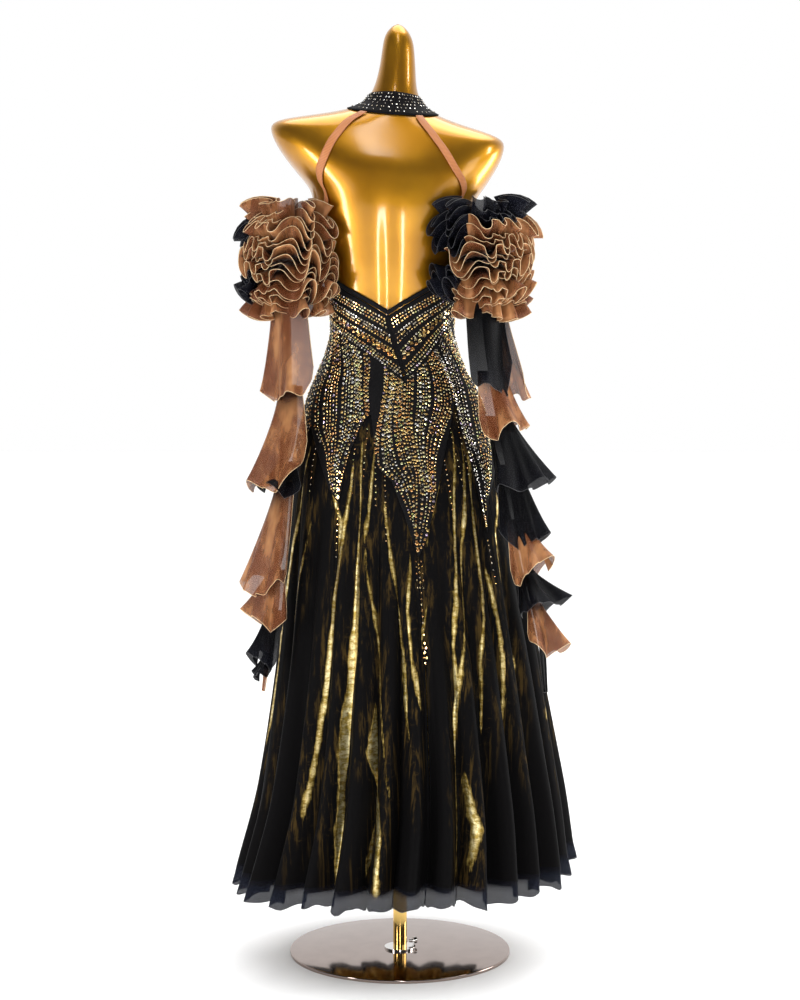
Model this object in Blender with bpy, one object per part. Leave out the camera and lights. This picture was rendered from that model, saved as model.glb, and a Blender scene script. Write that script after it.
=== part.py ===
"""Ballroom dance dress on a limbless dress form with a pole and a round base plate.

Lengths are millimetres in this file and become metres where a mesh is made. +Z is up, +Y is the way
the dress faces, and the origin is the middle of the base plate's underside. Angles run round the
body from the middle of the back, 0, through the right side, 90, to the middle of the front, 180.
Left and right are those of a viewer behind the dress: left is -X.
"""

import math
from collections import namedtuple

import bmesh
import bpy
from mathutils import Vector

MM = 0.001
GAP = 0.3  # between pieces that meet at a seam
TINY_ANGLE = 0.25  # degrees, the step for measuring a surface's slope
TINY_HEIGHT = 0.8

# Stand
PLATE_RADIUS = 200.0
PLATE_THICK = 6.0
PLATE_EDGE = 1.6
POLE_RADIUS = 12.5
FLANGE_RADIUS = 28.0
FLANGE_THICK = 3.5
FLANGE_NECK_RADIUS = 17.0
FLANGE_HEIGHT = 16.0
SCREW_RADIUS = 2.5
SCREW_HEAD_RADIUS = 6.0
SCREW_HEAD_LONG = 6.0
SCREW_REACH = 9.0

# Dress form
FORM_BOTTOM = 680.0
FORM_TOP = 1665.0
SHOULDER_LEAN = math.tan(math.radians(4.3))  # the right shoulder is lower
FORM_COLUMNS = 36

# Cloth walls: how far the inner face lies off the form, and how thick each wall is
CHIFFON_THICK = 1.2
STRETCH_THICK = 1.4
COLLAR_THICK = 2.0
LAME_OFF = 1.3
CHIFFON_OFF = 2.9
BODICE_OFF_WAIST = 1.7
BODICE_OFF_HIP = 8.0
BODICE_OFF_FRONT = 6.0  # more over the chest, where the form is round both ways
BODICE_HIP_TOP = 1054.0  # above this the bodice hugs the form
BODICE_HIP_FULL = 1031.0  # below this it lies over the skirts

# Bodice
V_BOTTOM = 1166.0
SIDE_SEAM = 92.0  # degrees from the middle of the back
ZIP_HALF_WIDTH = 2.4
BINDING_WIDE = 9.0
BINDING_THICK = 2.0
BINDING_SEAM = 0.6
TUCK = 16.0  # how far the skirts reach up under the bodice's edge
WAIST_LINE = 1130.0
HIP_SHARES = (0.0, 0.35, 0.6, 0.8, 1.0)  # rows between the lower edge and the hip
BODY_SHARES = (0.0, 0.14, 0.3, 0.48, 0.66, 0.84, 1.0)  # rows between the waist and the upper edge
FRONT_COLUMNS = (105, 117, 126, 134, 142, 150, 165, 180, 195, 210, 218, 226, 234, 243, 255)
BACK_COLUMNS_RIGHT = (4.5, 13, 22, 31, 39.6, 41, 44, 49, 56, 64, 71, 78, 85)
BACK_COLUMNS_LEFT = (7, 14, 24.6, 30.6, 36, 44, 49, 56, 64.5, 71, 77, 85)

# Collar and straps
COLLAR_OFF = 1.1
COLLAR_OPENING = 2.5  # degrees each side of the middle of the back, where the hooks close
COLLAR_RINGS = (0.0, 0.3, 0.55, 1.0)
COLLAR_SEAM = 0.5
HALTER_COLUMN, HALTER_END = 142, 150.0  # where the binding meets the collar in front
STRAP_HALF_WIDTH = 5.5
STRAP_THICK = 1.5
STRAP_OFF = 2.4
STRAP_RINGS = 13
STRAP_END_GAP = 1.0

# Skirt
FLUTE_STEPS = (0.0, 0.2, 0.4, 0.6, 0.8)
FLUTE_RINGS = (0.0, 0.3, 0.65, 1.0)  # shares of the way from the bodice's edge to the hem
FLUTE_GROWTH = 1.25
FOLD_START = 30.0  # how far below the bodice's edge the folds begin
FLARE_START, FLARE_FULL = 985.0, 890.0
LAME_HEM_UP = 26.0
LAME_HEM_IN = 10.0

# Sleeves
ARMBAND_RADIUS = 44.0
ARMBAND_THICK = 2.0
ARMBAND_HEIGHT = 66.0
ARMBAND_SIDES = 20
RUFFLE_THICK = 1.2
RUFFLE_SWING = 22.0  # degrees that a ruffle's edge swings up and down
RUFFLE_WAVE = 30.0  # degrees round the armband for each wave
RUFFLE_STEP = 7.5
RUFFLE_END = 0.5  # degrees left between two rows that meet end to end
RUFFLE_CLEAR = 3.0
RUFFLE_SHORTEST = 8.0
RUFFLE_ROOT_OFF = 1.2  # keeps a steep row's root off the armband
SLEEVE_THICK = 1.2
SLEEVE_TURN = 22.0  # degrees between the columns of a sleeve's strip and flounces
STRIP_COLUMNS = (-3, -2, -1, 0, 1, 2, 3)
STRIP_BELOW_BAND = 0.3
STRIP_RADIUS = 42.0
FLOUNCE_RINGS = 3
FLOUNCE_WAVE = 6.0
FLOUNCE_OFF = 1.6

FormSection = namedtuple("FormSection", "height half_width back front shift power")
FORM_SECTIONS = [
    FormSection(*row)
    for row in (
        (680, 136, 92, 88, -2, 2.2),
        (810, 157, 111, 97, -5, 2.2),
        (930, 165, 120, 102, -8, 2.2),
        (985, 156, 112, 99, -10, 2.2),
        (1040, 135, 97, 92, -12, 2.2),
        (1090, 115, 83, 85, -13, 2.2),
        (1130, 107, 77, 82, -14, 2.2),
        (1180, 111, 80, 89, -13, 2.2),
        (1236, 125, 89, 109, -12, 2.2),
        (1300, 137, 97, 126, -12, 2.2),
        (1335, 141, 101, 121, -12, 2.3),
        (1362, 144, 102, 113, -12, 2.4),
        (1386, 161, 101, 101, -14, 2.5),
        (1413, 181, 99, 88, -18, 2.6),
        (1447, 201, 89, 75, -21, 2.8),
        (1472, 207, 77, 66, -22, 2.8),
        (1482, 197, 72, 61, -22, 2.6),
        (1490, 168, 68, 58, -21, 2.4),
        (1498, 130, 64, 55, -18, 2.2),
        (1506, 97, 60, 52, -14, 2.1),
        (1514, 72, 54, 48, -12, 2.0),
        (1524, 54, 48, 44, -10, 2.0),
        (1538, 44, 43, 40, -9, 2.0),
        (1560, 36, 37, 36, -7, 2.0),
        (1594, 31, 31, 31, -4, 2.0),
        (1630, 27, 27, 27, -3, 2.0),
        (1650, 20, 20, 20, -4, 2.0),
        (1660, 11, 11, 11, -4, 2.0),
    )
]

SkirtSection = namedtuple("SkirtSection", "height half_width back front shift")
SKIRT_SECTIONS = [
    SkirtSection(*row)
    for row in (
        (110, 284, 268, 266, 6),
        (150, 278, 262, 260, 8),
        (320, 252, 232, 230, 18),
        (520, 226, 201, 198, 15),
        (700, 205, 171, 166, 6),
        (850, 186, 145, 132, -3),
        (930, 174, 130, 113, -8),
        (985, 160, 116, 104, -10),
        (1060, 140, 100, 98, -12),
    )
]

# The way that the dress hangs a little twisted on the form
TwistRow = namedtuple("TwistRow", "height degrees")
TWIST = [
    TwistRow(*row)
    for row in ((150, 8), (740, 9.6), (1051, 11), (1166, -5.7), (1230, -6), (1340, 0), (1560, 0))
]

# The bodice's lower edge: points over the skirt, with notches where the skirt's fulness springs out
EdgeRow = namedtuple("EdgeRow", "degrees height")
BASQUE_EDGE = [
    EdgeRow(*row)
    for row in (
        (0, 742),
        (4.5, 763),
        (22, 900),
        (39.6, 1003),
        (41, 930),
        (44, 779),
        (49, 834),
        (64, 898),
        (78, 955),
        (105, 815),
        (142, 958),
        (180, 742),
        (218, 958),
        (255, 830),
        (283, 960),
        (295.5, 906),
        (304, 857),
        (311, 831),
        (316, 922),
        (324, 975),
        (329.4, 985),
        (335.4, 897),
        (346, 870),
        (353, 816),
        (360, 742),
    )
]

HemRow = namedtuple("HemRow", "degrees height")
HEM = [
    HemRow(*row)
    for row in ((0, 152), (45, 152), (90, 166), (135, 156), (180, 150), (225, 142), (270, 128), (315, 142), (360, 152))
]

# The bodice's upper edge: the V of the back, the sides under the arms, and the halter front
TopRow = namedtuple("TopRow", "degrees height")
BODICE_TOP = [
    TopRow(*row)
    for row in (
        (0, 1166),
        (14, 1178),
        (34, 1196),
        (52, 1216),
        (66, 1250),
        (80, 1305),
        (92, 1335),
        (105, 1341),
        (117, 1356),
        (130, 1392),
        (142, 1446),
        (150, 1494),
        (155, 1530),
        (180, 1560),
    )
]

# One row for each flute of the skirt: its width round the body and how deep it is at the hem
Flute = namedtuple("Flute", "gore degrees depth")
FLUTES = [
    Flute(*row)
    for row in (
        ("back_right", 13, 46),
        ("back_right", 12, 58),
        ("back_right", 14, 50),
        ("back_right", 11, 40),
        ("side_right", 14, 54),
        ("side_right", 13, 44),
        ("side_right", 15, 60),
        ("side_right", 13, 48),
        ("front_right", 15, 56),
        ("front_right", 14, 46),
        ("front_right", 16, 58),
        ("front_right", 14, 50),
        ("front_right", 16, 44),
        ("front_left", 15, 50),
        ("front_left", 16, 58),
        ("front_left", 14, 44),
        ("front_left", 15, 52),
        ("front_left", 15, 48),
        ("side_left", 14, 56),
        ("side_left", 13, 44),
        ("side_left", 15, 58),
        ("side_left", 13, 50),
        ("back_left", 12, 42),
        ("back_left", 14, 56),
        ("back_left", 11, 44),
        ("back_left", 13, 60),
    )
]

# Straps on the bare back: height and angle of the middle line
StrapRow = namedtuple("StrapRow", "height degrees")
STRAP = [
    StrapRow(*row)
    for row in (
        (1322, 86),
        (1346, 80),
        (1374, 67),
        (1398, 57.5),
        (1425, 51.5),
        (1458, 48),
        (1486, 45),
        (1506, 40),
    )
]

# Collar: lower and upper edge
CollarRow = namedtuple("CollarRow", "degrees low high")
COLLAR_EDGES = [
    CollarRow(*row)
    for row in ((0, 1503, 1544), (45, 1505, 1542), (90, 1511, 1538), (135, 1502, 1532), (180, 1494, 1526))
]

# Ruffle rows of each pouf, from the top. Root is the height on the armband, tilt is how far the row
# points up, and start and end are degrees round the armband from the side away from the body
RuffleRow = namedtuple("RuffleRow", "name root tilt phase long start end")
RUFFLES = {
    "left": [
        RuffleRow(*row)
        for row in (
            ("tan_top", 30, 70, 0, 72, -150, 112.5),
            ("tan_high", 15, 33, 45, 50, -157.5, -7.5),
            ("black_high", 15, 33, 45, 50, -7.5, 112.5),
            ("tan_middle", 0, 0, 90, 42, -157.5, 112.5),
            ("tan_low", -15, -33, 135, 50, -157.5, -22.5),
            ("black_low", -15, -33, 135, 50, -22.5, 112.5),
            ("tan_hem", -30, -63, 180, 74, -150, 112.5),
        )
    ],
    "right": [
        RuffleRow(*row)
        for row in (
            ("black_top", 30, 68, 30, 80, -150, 112.5),
            ("black_high", 15, 33, 75, 52, -157.5, -82.5),
            ("tan_high", 15, 33, 75, 50, -82.5, 112.5),
            ("tan_middle", 0, 0, 120, 44, -105, 112.5),
            ("black_low", -15, -33, 165, 50, -157.5, -90),
            ("tan_low", -15, -33, 165, 50, -90, 112.5),
            ("tan_hem", -30, -68, 210, 72, -112.5, 112.5),
        )
    ],
}
# Degrees round the body, and seat is how far off the bodice's thickest line the armband lies
ArmbandPlace = namedtuple("ArmbandPlace", "side middle degrees seat")
ARMBANDS = [ArmbandPlace("left", 1252.0, -76.0, 0.65), ArmbandPlace("right", 1256.0, 61.0, -3.4)]

# The middle line of each sleeve below its armband, and its radius
SleeveRow = namedtuple("SleeveRow", "height x y radius")
SLEEVE_LINES = {
    "left": [
        SleeveRow(*row)
        for row in (
            (1130, -185, -52, 30),
            (1000, -185, -72, 22),
            (860, -196, -92, 18),
            (700, -212, -112, 15),
            (580, -222, -128, 11),
            (505, -234, -138, 6),
        )
    ],
    "right": [
        SleeveRow(*row)
        for row in (
            (1130, 146, -98, 30),
            (1035, 158, -108, 23),
            (960, 172, -112, 20),
            (870, 190, -118, 18),
            (780, 204, -126, 16),
            (700, 219, -132, 15),
            (600, 240, -140, 11),
            (505, 250, -148, 6),
        )
    ],
}
# Flounces of each sleeve, from the top. Top and bottom are heights, and drop is how much lower the
# edge hangs on the side away from the body. Flare is how far the edge stands out on that side, and
# inner on the side by the body
Flounce = namedtuple("Flounce", "name top bottom drop flare inner start end waves")
FLOUNCES = {
    "left": [
        Flounce(*row)
        for row in (
            ("tan_1", 1196, 1013, -2, 20, 40, -5, 4, 2),
            ("tan_2", 1034, 880, 22, 49, 2, -5, 5, 2),
            ("black_3", 900, 847, -15, 33, 10, -5, 5, 2),
            ("tan_4", 868, 696, 15, 42, 4, -5, 5, 2),
            ("tan_5", 716, 614, -20, 30, 8, -5, 5, 2),
            ("black_6", 646, 554, -6, 22, 8, -5, 5, 2),
            ("black_7", 574, 530, 0, 16, 4, -4, 4, 1),
        )
    ],
    "right": [
        Flounce(*row)
        for row in (
            ("black_1", 1196, 1032, 8, 20, 10, -5, 0, 1),
            ("tan_2", 1186, 1020, 0, 46, 22, 1, 5, 1),
            ("tan_3", 1062, 946, -26, 30, 8, -5, 5, 2),
            ("black_4", 984, 856, -14, 50, 8, -5, 5, 2),
            ("black_5", 900, 762, -8, 24, 10, -5, 5, 2),
            ("tan_6", 806, 698, -34, 34, 12, -5, 5, 2),
            ("black_7", 714, 642, -24, 44, 8, -5, 5, 2),
            ("tan_8", 664, 582, 2, 32, 6, -4, 4, 2),
        )
    ],
}

Paint = namedtuple("Paint", "red green blue roughness metallic alpha")
PAINTS = {
    "gold_gloss": Paint(0.80, 0.52, 0.10, 0.22, 0.7, 1.0),
    "chrome": Paint(0.72, 0.69, 0.66, 0.08, 1.0, 1.0),
    "brass": Paint(0.86, 0.62, 0.22, 0.15, 1.0, 1.0),
    "black_stretch": Paint(0.012, 0.012, 0.014, 0.6, 0.0, 1.0),
    "black_chiffon": Paint(0.010, 0.010, 0.012, 0.75, 0.0, 0.8),
    "gold_lame": Paint(0.62, 0.47, 0.16, 0.35, 0.9, 1.0),
    "tan_organza": Paint(0.42, 0.17, 0.06, 0.45, 0.1, 0.9),
    "black_organza": Paint(0.010, 0.011, 0.015, 0.6, 0.0, 0.8),
    "tan_elastic": Paint(0.50, 0.22, 0.09, 0.6, 0.0, 1.0),
}


def clear_scene():
    for obj in list(bpy.data.objects):
        bpy.data.objects.remove(obj, do_unlink=True)


def material(name):
    paint = PAINTS[name]
    found = bpy.data.materials.get(name) or bpy.data.materials.new(name)
    found.use_nodes = True
    shader = found.node_tree.nodes["Principled BSDF"]
    shader.inputs["Base Color"].default_value = (paint.red, paint.green, paint.blue, 1.0)
    shader.inputs["Roughness"].default_value = paint.roughness
    shader.inputs["Metallic"].default_value = paint.metallic
    shader.inputs["Alpha"].default_value = paint.alpha
    return found


# ---------------------------------------------------------------- curves through tables


def slopes_of(xs, ys):
    """Slopes for a smooth curve through the points that never overshoots them."""
    steps = [(ys[i + 1] - ys[i]) / (xs[i + 1] - xs[i]) for i in range(len(xs) - 1)]
    slopes = [steps[0]]
    for before, after in zip(steps, steps[1:]):
        slopes.append(0.0 if before * after <= 0 else 2 * before * after / (before + after))
    slopes.append(steps[-1])
    return slopes


def curve_through(rows, key, value):
    """A smooth function of one column of a table, given another column."""
    xs = [getattr(row, key) for row in rows]
    ys = [getattr(row, value) for row in rows]
    slopes = slopes_of(xs, ys)

    def at(x):
        x = min(max(x, xs[0]), xs[-1])
        i = max(k for k in range(len(xs) - 1) if xs[k] <= x)
        span = xs[i + 1] - xs[i]
        t = (x - xs[i]) / span
        return (
            ys[i] * (1 + 2 * t) * (1 - t) ** 2
            + slopes[i] * span * t * (1 - t) ** 2
            + ys[i + 1] * t * t * (3 - 2 * t)
            - slopes[i + 1] * span * t * t * (1 - t)
        )

    return at


def smooth_step(x, low, high):
    t = min(max((x - low) / (high - low), 0.0), 1.0)
    return t * t * (3 - 2 * t)


def blend(a, b, share):
    return a + (b - a) * share


def spread(low, high, count):
    """count numbers from low to high, evenly spaced."""
    return [blend(low, high, i / (count - 1)) for i in range(count)]


FORM = {name: curve_through(FORM_SECTIONS, "height", name) for name in FormSection._fields[1:]}
SKIRT = {name: curve_through(SKIRT_SECTIONS, "height", name) for name in SkirtSection._fields[1:]}
twist_at = curve_through(TWIST, "height", "degrees")
hem_at = curve_through(HEM, "degrees", "height")
bodice_top_at = curve_through(BODICE_TOP, "degrees", "height")
collar_low_at = curve_through(COLLAR_EDGES, "degrees", "low")
collar_high_at = curve_through(COLLAR_EDGES, "degrees", "high")


# ---------------------------------------------------------------- the form and the dress as surfaces


def round_section(degrees, half_width, back, front, power):
    """How far a section's outline lies from its middle in one direction."""
    across, along = math.sin(math.radians(degrees)), math.cos(math.radians(degrees))
    depth = back if along > 0 else front
    return (abs(across / half_width) ** power + abs(along / depth) ** power) ** (-1 / power)


def placed(degrees, height, radius, shift):
    """The point at a radius from the body's middle line, with the shoulders' lean."""
    x = radius * math.sin(math.radians(degrees))
    lean = SHOULDER_LEAN * smooth_step(height, 1180, 1440) * (1 - smooth_step(height, 1560, 1640))
    return Vector((shift + x, -radius * math.cos(math.radians(degrees)), height - lean * x))


def form_point(degrees, height):
    radius = round_section(
        degrees,
        FORM["half_width"](height),
        FORM["back"](height),
        FORM["front"](height),
        FORM["power"](height),
    )
    return placed(degrees, height, radius, FORM["shift"](height))


def skirt_radius(degrees, height):
    return round_section(
        degrees, SKIRT["half_width"](height), SKIRT["back"](height), SKIRT["front"](height), 2.1
    )


def dress_point(degrees, height):
    """The middle surface of the dress without its folds: on the form above, flared below."""
    share = 1 - smooth_step(height, FLARE_FULL, FLARE_START)
    form_height = max(height, FORM_BOTTOM)
    fitted = round_section(
        degrees,
        FORM["half_width"](form_height),
        FORM["back"](form_height),
        FORM["front"](form_height),
        FORM["power"](form_height),
    )
    flared = max(skirt_radius(degrees, height), fitted)
    shift = blend(FORM["shift"](form_height), SKIRT["shift"](height), share)
    return placed(degrees, height, blend(fitted, flared, share), shift)


def worn(degrees, height):
    """A point given in the dress's own angles, once it hangs twisted on the form."""
    return dress_point(degrees + twist_at(height), height)


def normal_of(surface, degrees, height):
    """The outward normal of a surface that is a function of angle and height."""
    along = surface(degrees + TINY_ANGLE, height) - surface(degrees - TINY_ANGLE, height)
    up = surface(degrees, height + TINY_HEIGHT) - surface(degrees, height - TINY_HEIGHT)
    return along.cross(up).normalized()


def lifted(surface, degrees, height, distance):
    return surface(degrees, height) + normal_of(surface, degrees, height) * distance


def basque_edge(degrees):
    """Height of the bodice's lower edge at an angle of the dress."""
    degrees %= 360.0
    for start, end in zip(BASQUE_EDGE, BASQUE_EDGE[1:]):
        if start.degrees <= degrees <= end.degrees:
            share = (degrees - start.degrees) / (end.degrees - start.degrees)
            return blend(start.height, end.height, share)
    raise ValueError("the edge's table covers the whole circle")


def bodice_off(degrees, height):
    """How far the bodice's inner face lies off the dress's surface."""
    hugging = BODICE_OFF_WAIST + BODICE_OFF_FRONT * smooth_step(from_back(degrees), SIDE_SEAM, 120)
    return blend(BODICE_OFF_HIP, hugging, smooth_step(height, BODICE_HIP_FULL, BODICE_HIP_TOP))


def from_back(degrees):
    """The angle from the middle of the back, the same on both sides, from 0 to 180."""
    return abs((degrees + 180) % 360 - 180)


# ---------------------------------------------------------------- meshes


def finished(name, work, paint, sharp=40):
    """An object made from a bmesh, with its faces outwards."""
    bmesh.ops.recalc_face_normals(work, faces=work.faces)
    mesh = bpy.data.meshes.new(name)
    work.to_mesh(mesh)
    work.free()
    obj = bpy.data.objects.new(name, mesh)
    bpy.context.scene.collection.objects.link(obj)
    mesh.materials.append(material(paint))
    mesh.shade_smooth()
    mesh.set_sharp_from_angle(angle=math.radians(sharp))
    return obj


def wall(name, inner, outer, paint, closed=False):
    """A cloth wall between two grids of points. Each grid is a list of columns of points.

    A closed wall runs all the way round, so its last column joins its first.
    """
    columns, rows = len(inner), len(inner[0])
    points = [p for column in inner for p in column] + [p for column in outer for p in column]
    shift = columns * rows

    def at(column, row):
        return (column % columns) * rows + row

    faces = []
    for c in range(columns if closed else columns - 1):
        for r in range(rows - 1):
            a, b, d, e = at(c, r), at(c + 1, r), at(c + 1, r + 1), at(c, r + 1)
            faces.append((a, e, d, b))
            faces.append((a + shift, b + shift, d + shift, e + shift))
        for r in (0, rows - 1):
            a, b = at(c, r), at(c + 1, r)
            faces.append((a, b, b + shift, a + shift) if r == 0 else (b, a, a + shift, b + shift))
    if not closed:
        for c in (0, columns - 1):
            for r in range(rows - 1):
                a, b = at(c, r), at(c, r + 1)
                faces.append((b, a, a + shift, b + shift) if c == 0 else (a, b, b + shift, a + shift))
    work = bmesh.new()
    verts = [work.verts.new(p * MM) for p in points]
    for face in faces:
        work.faces.new([verts[i] for i in face])
    return finished(name, work, paint)


def panel(name, surface, grid, off, thick, paint, closed=False):
    """A wall that lies on a surface. The grid is columns of (angle, height), and off is a function
    of both that says how far the wall's inner face lies off the surface."""
    inner = [[lifted(surface, a, h, off(a, h)) for a, h in column] for column in grid]
    outer = [[lifted(surface, a, h, off(a, h) + thick) for a, h in column] for column in grid]
    return wall(name, inner, outer, paint, closed)


# ---------------------------------------------------------------- dress form and stand


def build_form():
    """The torso with shoulder stubs and a tall rounded neck, as one closed skin."""
    work = bmesh.new()
    loops = []
    for row in FORM_SECTIONS:
        ring = [
            work.verts.new(form_point(360.0 * i / FORM_COLUMNS, row.height) * MM)
            for i in range(FORM_COLUMNS)
        ]
        loops.append([work.edges.new((ring[i], ring[i - 1])) for i in range(FORM_COLUMNS)])
    for low, high in zip(loops, loops[1:]):
        bmesh.ops.bridge_loops(work, edges=low + high)
    bmesh.ops.contextual_create(work, geom=loops[0])
    crown = work.verts.new(Vector((FORM["shift"](FORM_TOP), 0, FORM_TOP)) * MM)
    for edge in loops[-1]:
        work.faces.new((*edge.verts, crown))
    return finished("form_torso", work, "gold_gloss")


def turned(name, profile, sides, paint):
    """A solid turned about Z from a profile of (radius, height) points, listed round the section."""
    work = bmesh.new()
    points = [work.verts.new(Vector((radius, 0, height)) * MM) for radius, height in profile]
    edges = [work.edges.new((points[i], points[i - 1])) for i in range(len(points))]
    bmesh.ops.spin(
        work,
        geom=points + edges,
        cent=(0, 0, 0),
        axis=(0, 0, 1),
        angle=2 * math.pi,
        steps=sides,
        use_merge=True,
    )
    bmesh.ops.remove_doubles(work, verts=work.verts, dist=0.00001)
    return finished(name, work, paint, 30)


def cylinder(name, radius, length, sides, paint):
    bpy.ops.mesh.primitive_cylinder_add(vertices=sides, radius=radius * MM, depth=length * MM)
    obj = bpy.context.object
    obj.name = obj.data.name = name
    obj.data.materials.append(material(paint))
    obj.data.shade_smooth()
    obj.data.set_sharp_from_angle(angle=math.radians(40))
    return obj


def build_stand():
    plate = cylinder("form_base", PLATE_RADIUS, PLATE_THICK, 48, "chrome")
    plate.location = (0, 0, PLATE_THICK / 2 * MM)
    edge = plate.modifiers.new("rounded edge", "BEVEL")
    edge.width = PLATE_EDGE * MM
    edge.segments = 1

    pole_bottom, pole_top = PLATE_THICK + GAP, FORM_BOTTOM - GAP
    pole = cylinder("form_pole", POLE_RADIUS, pole_top - pole_bottom, 16, "brass")
    pole.location = (0, 0, (pole_bottom + pole_top) / 2 * MM)

    low = PLATE_THICK + GAP
    bore = POLE_RADIUS + GAP
    turned(
        "form_flange",
        (
            (bore, low),
            (FLANGE_RADIUS, low),
            (FLANGE_RADIUS, low + FLANGE_THICK),
            (FLANGE_NECK_RADIUS, low + FLANGE_THICK + 1.0),
            (FLANGE_NECK_RADIUS, low + FLANGE_HEIGHT),
            (bore, low + FLANGE_HEIGHT),
        ),
        24,
        "chrome",
    )

    screw_height = low + FLANGE_THICK + 7.0
    screw = turned(
        "form_screw",
        (
            (0, 0),
            (SCREW_RADIUS, 0),
            (SCREW_RADIUS, SCREW_REACH),
            (SCREW_HEAD_RADIUS, SCREW_REACH),
            (SCREW_HEAD_RADIUS, SCREW_REACH + SCREW_HEAD_LONG),
            (0, SCREW_REACH + SCREW_HEAD_LONG),
        ),
        12,
        "chrome",
    )
    screw.rotation_euler = (0, math.radians(90), math.radians(25))
    out = FLANGE_NECK_RADIUS + GAP
    screw.location = Vector((math.cos(math.radians(25)) * out, math.sin(math.radians(25)) * out, screw_height)) * MM


# ---------------------------------------------------------------- collar, straps and bodice


def build_collar():
    grid = []
    for angle in [COLLAR_OPENING, *range(10, 360, 10), 360 - COLLAR_OPENING]:
        low = collar_low_at(from_back(angle))
        high = collar_high_at(from_back(angle))
        grid.append([(angle, blend(low, high, share)) for share in COLLAR_RINGS])
    panel("collar", form_point, grid, lambda a, h: COLLAR_OFF, COLLAR_THICK, "black_stretch")


def build_strap(side, sign):
    """A flat elastic band on the form, from the collar's lower edge to the bodice's binding."""
    angle_at = curve_through(STRAP, "height", "degrees")
    inner, outer = [], []
    heights = spread(STRAP[-1].height, STRAP[0].height, STRAP_RINGS)
    for i, height in enumerate(heights):
        angle = sign * angle_at(height)
        here = worn(angle, height)
        ahead = worn(sign * angle_at(height - 2), height - 2)
        normal = normal_of(worn, angle, height)
        across = (ahead - here).cross(normal).normalized()
        pair = [here - across * STRAP_HALF_WIDTH, here + across * STRAP_HALF_WIDTH]
        if i in (0, STRAP_RINGS - 1):
            spot = math.degrees(STRAP_HALF_WIDTH / math.hypot(here.x - FORM["shift"](height), here.y))
            ends = [angle - sign * spot, angle + sign * spot]
            if i == 0:
                levels = [collar_low_at(from_back(a)) - STRAP_END_GAP for a in ends]
            else:
                levels = [bodice_top_at(from_back(a)) + STRAP_END_GAP for a in ends]
            corners = [worn(a, h) for a, h in zip(ends, levels)]
            pair = sorted(corners, key=lambda p: (p - pair[0]).length)
        inner.append([p + normal * STRAP_OFF for p in pair])
        outer.append([p + normal * (STRAP_OFF + STRAP_THICK) for p in pair])
    wall("strap_" + side, inner, outer, "tan_elastic")


def bodice_column(angle):
    """One column of the bodice: heights from its pointed lower edge up to its upper edge."""
    side = from_back(angle)
    top = min(bodice_top_at(side) - BINDING_WIDE, collar_low_at(side) - COLLAR_SEAM)
    heights = [blend(basque_edge(angle), BODICE_HIP_FULL, share) for share in HIP_SHARES]
    heights += [BODICE_HIP_TOP] + [blend(WAIST_LINE, top, share) for share in BODY_SHARES]
    return [(angle, height) for height in heights]


def angle_of_width(width, height):
    """The angle that a width along the middle of the back takes up at a height."""
    here = worn(0, height)
    return math.degrees(width / math.hypot(here.x - FORM["shift"](height), here.y))


def build_bodice():
    inset = math.degrees(GAP / 2 / 130.0)
    grid = [bodice_column(a) for a in (SIDE_SEAM + inset, *FRONT_COLUMNS, 360 - SIDE_SEAM - inset)]
    panel("bodice_front", worn, grid, bodice_off, STRETCH_THICK, "black_stretch")
    for side, sign, angles in (("right", 1, BACK_COLUMNS_RIGHT), ("left", -1, BACK_COLUMNS_LEFT)):
        middle = []
        for _, height in bodice_column(0):
            clear = ZIP_HALF_WIDTH + GAP if height >= BODICE_HIP_TOP else GAP / 2
            middle.append((sign * angle_of_width(clear, height), height))
        grid = [middle] + [bodice_column(sign * a) for a in (*angles, SIDE_SEAM - inset)]
        panel("bodice_back_" + side, worn, grid, bodice_off, STRETCH_THICK, "black_stretch")


def build_binding():
    """A plain folded edge from the V of the back, under the arm and up the halter front."""
    for side, sign, angles in (("right", 1, BACK_COLUMNS_RIGHT), ("left", -1, BACK_COLUMNS_LEFT)):
        start = angle_of_width(GAP / 2, V_BOTTOM)
        halter = [a for a in FRONT_COLUMNS if a <= HALTER_COLUMN] + [HALTER_END]
        grid = []
        for angle in (start, *angles, SIDE_SEAM, *halter):
            top = bodice_top_at(angle)
            grid.append([(sign * angle, top - BINDING_WIDE + BINDING_SEAM), (sign * angle, top)])
        panel("neck_binding_" + side, worn, grid, bodice_off, BINDING_THICK, "black_stretch")


def build_zip():
    heights = [height for _, height in bodice_column(0) if height >= BODICE_HIP_TOP]
    heights[0] += GAP
    heights[-1] -= GAP
    grid = [
        [(share * angle_of_width(ZIP_HALF_WIDTH, h), h) for h in heights] for share in (-1, 0, 1)
    ]
    panel("zip_chain", worn, grid, bodice_off, STRETCH_THICK, "black_stretch")


# ---------------------------------------------------------------- skirts


def swell_at(degrees):
    """How far the folds stand out at the hem at any angle of the dress."""
    degrees %= 360.0
    start = 0.0
    for i, flute in enumerate(FLUTES):
        if degrees <= start + flute.degrees:
            share = (degrees - start) / flute.degrees
            near = FLUTES[i - 1] if share < 0.5 else FLUTES[(i + 1) % len(FLUTES)]
            trough = -0.25 * (flute.depth + near.depth)
            return blend(trough, 0.5 * flute.depth, 0.5 - 0.5 * math.cos(2 * math.pi * share))
        start += flute.degrees
    raise ValueError("the flutes cover the whole circle")


def gore_angles(gore):
    """The angles of a gore's columns. Both its edges lie in the troughs of the folds."""
    start = 0.0
    angles = []
    for flute in FLUTES:
        if flute.gore == gore:
            angles += [start + step * flute.degrees for step in FLUTE_STEPS]
            end = start + flute.degrees
        start += flute.degrees
    return angles + [end]


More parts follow.
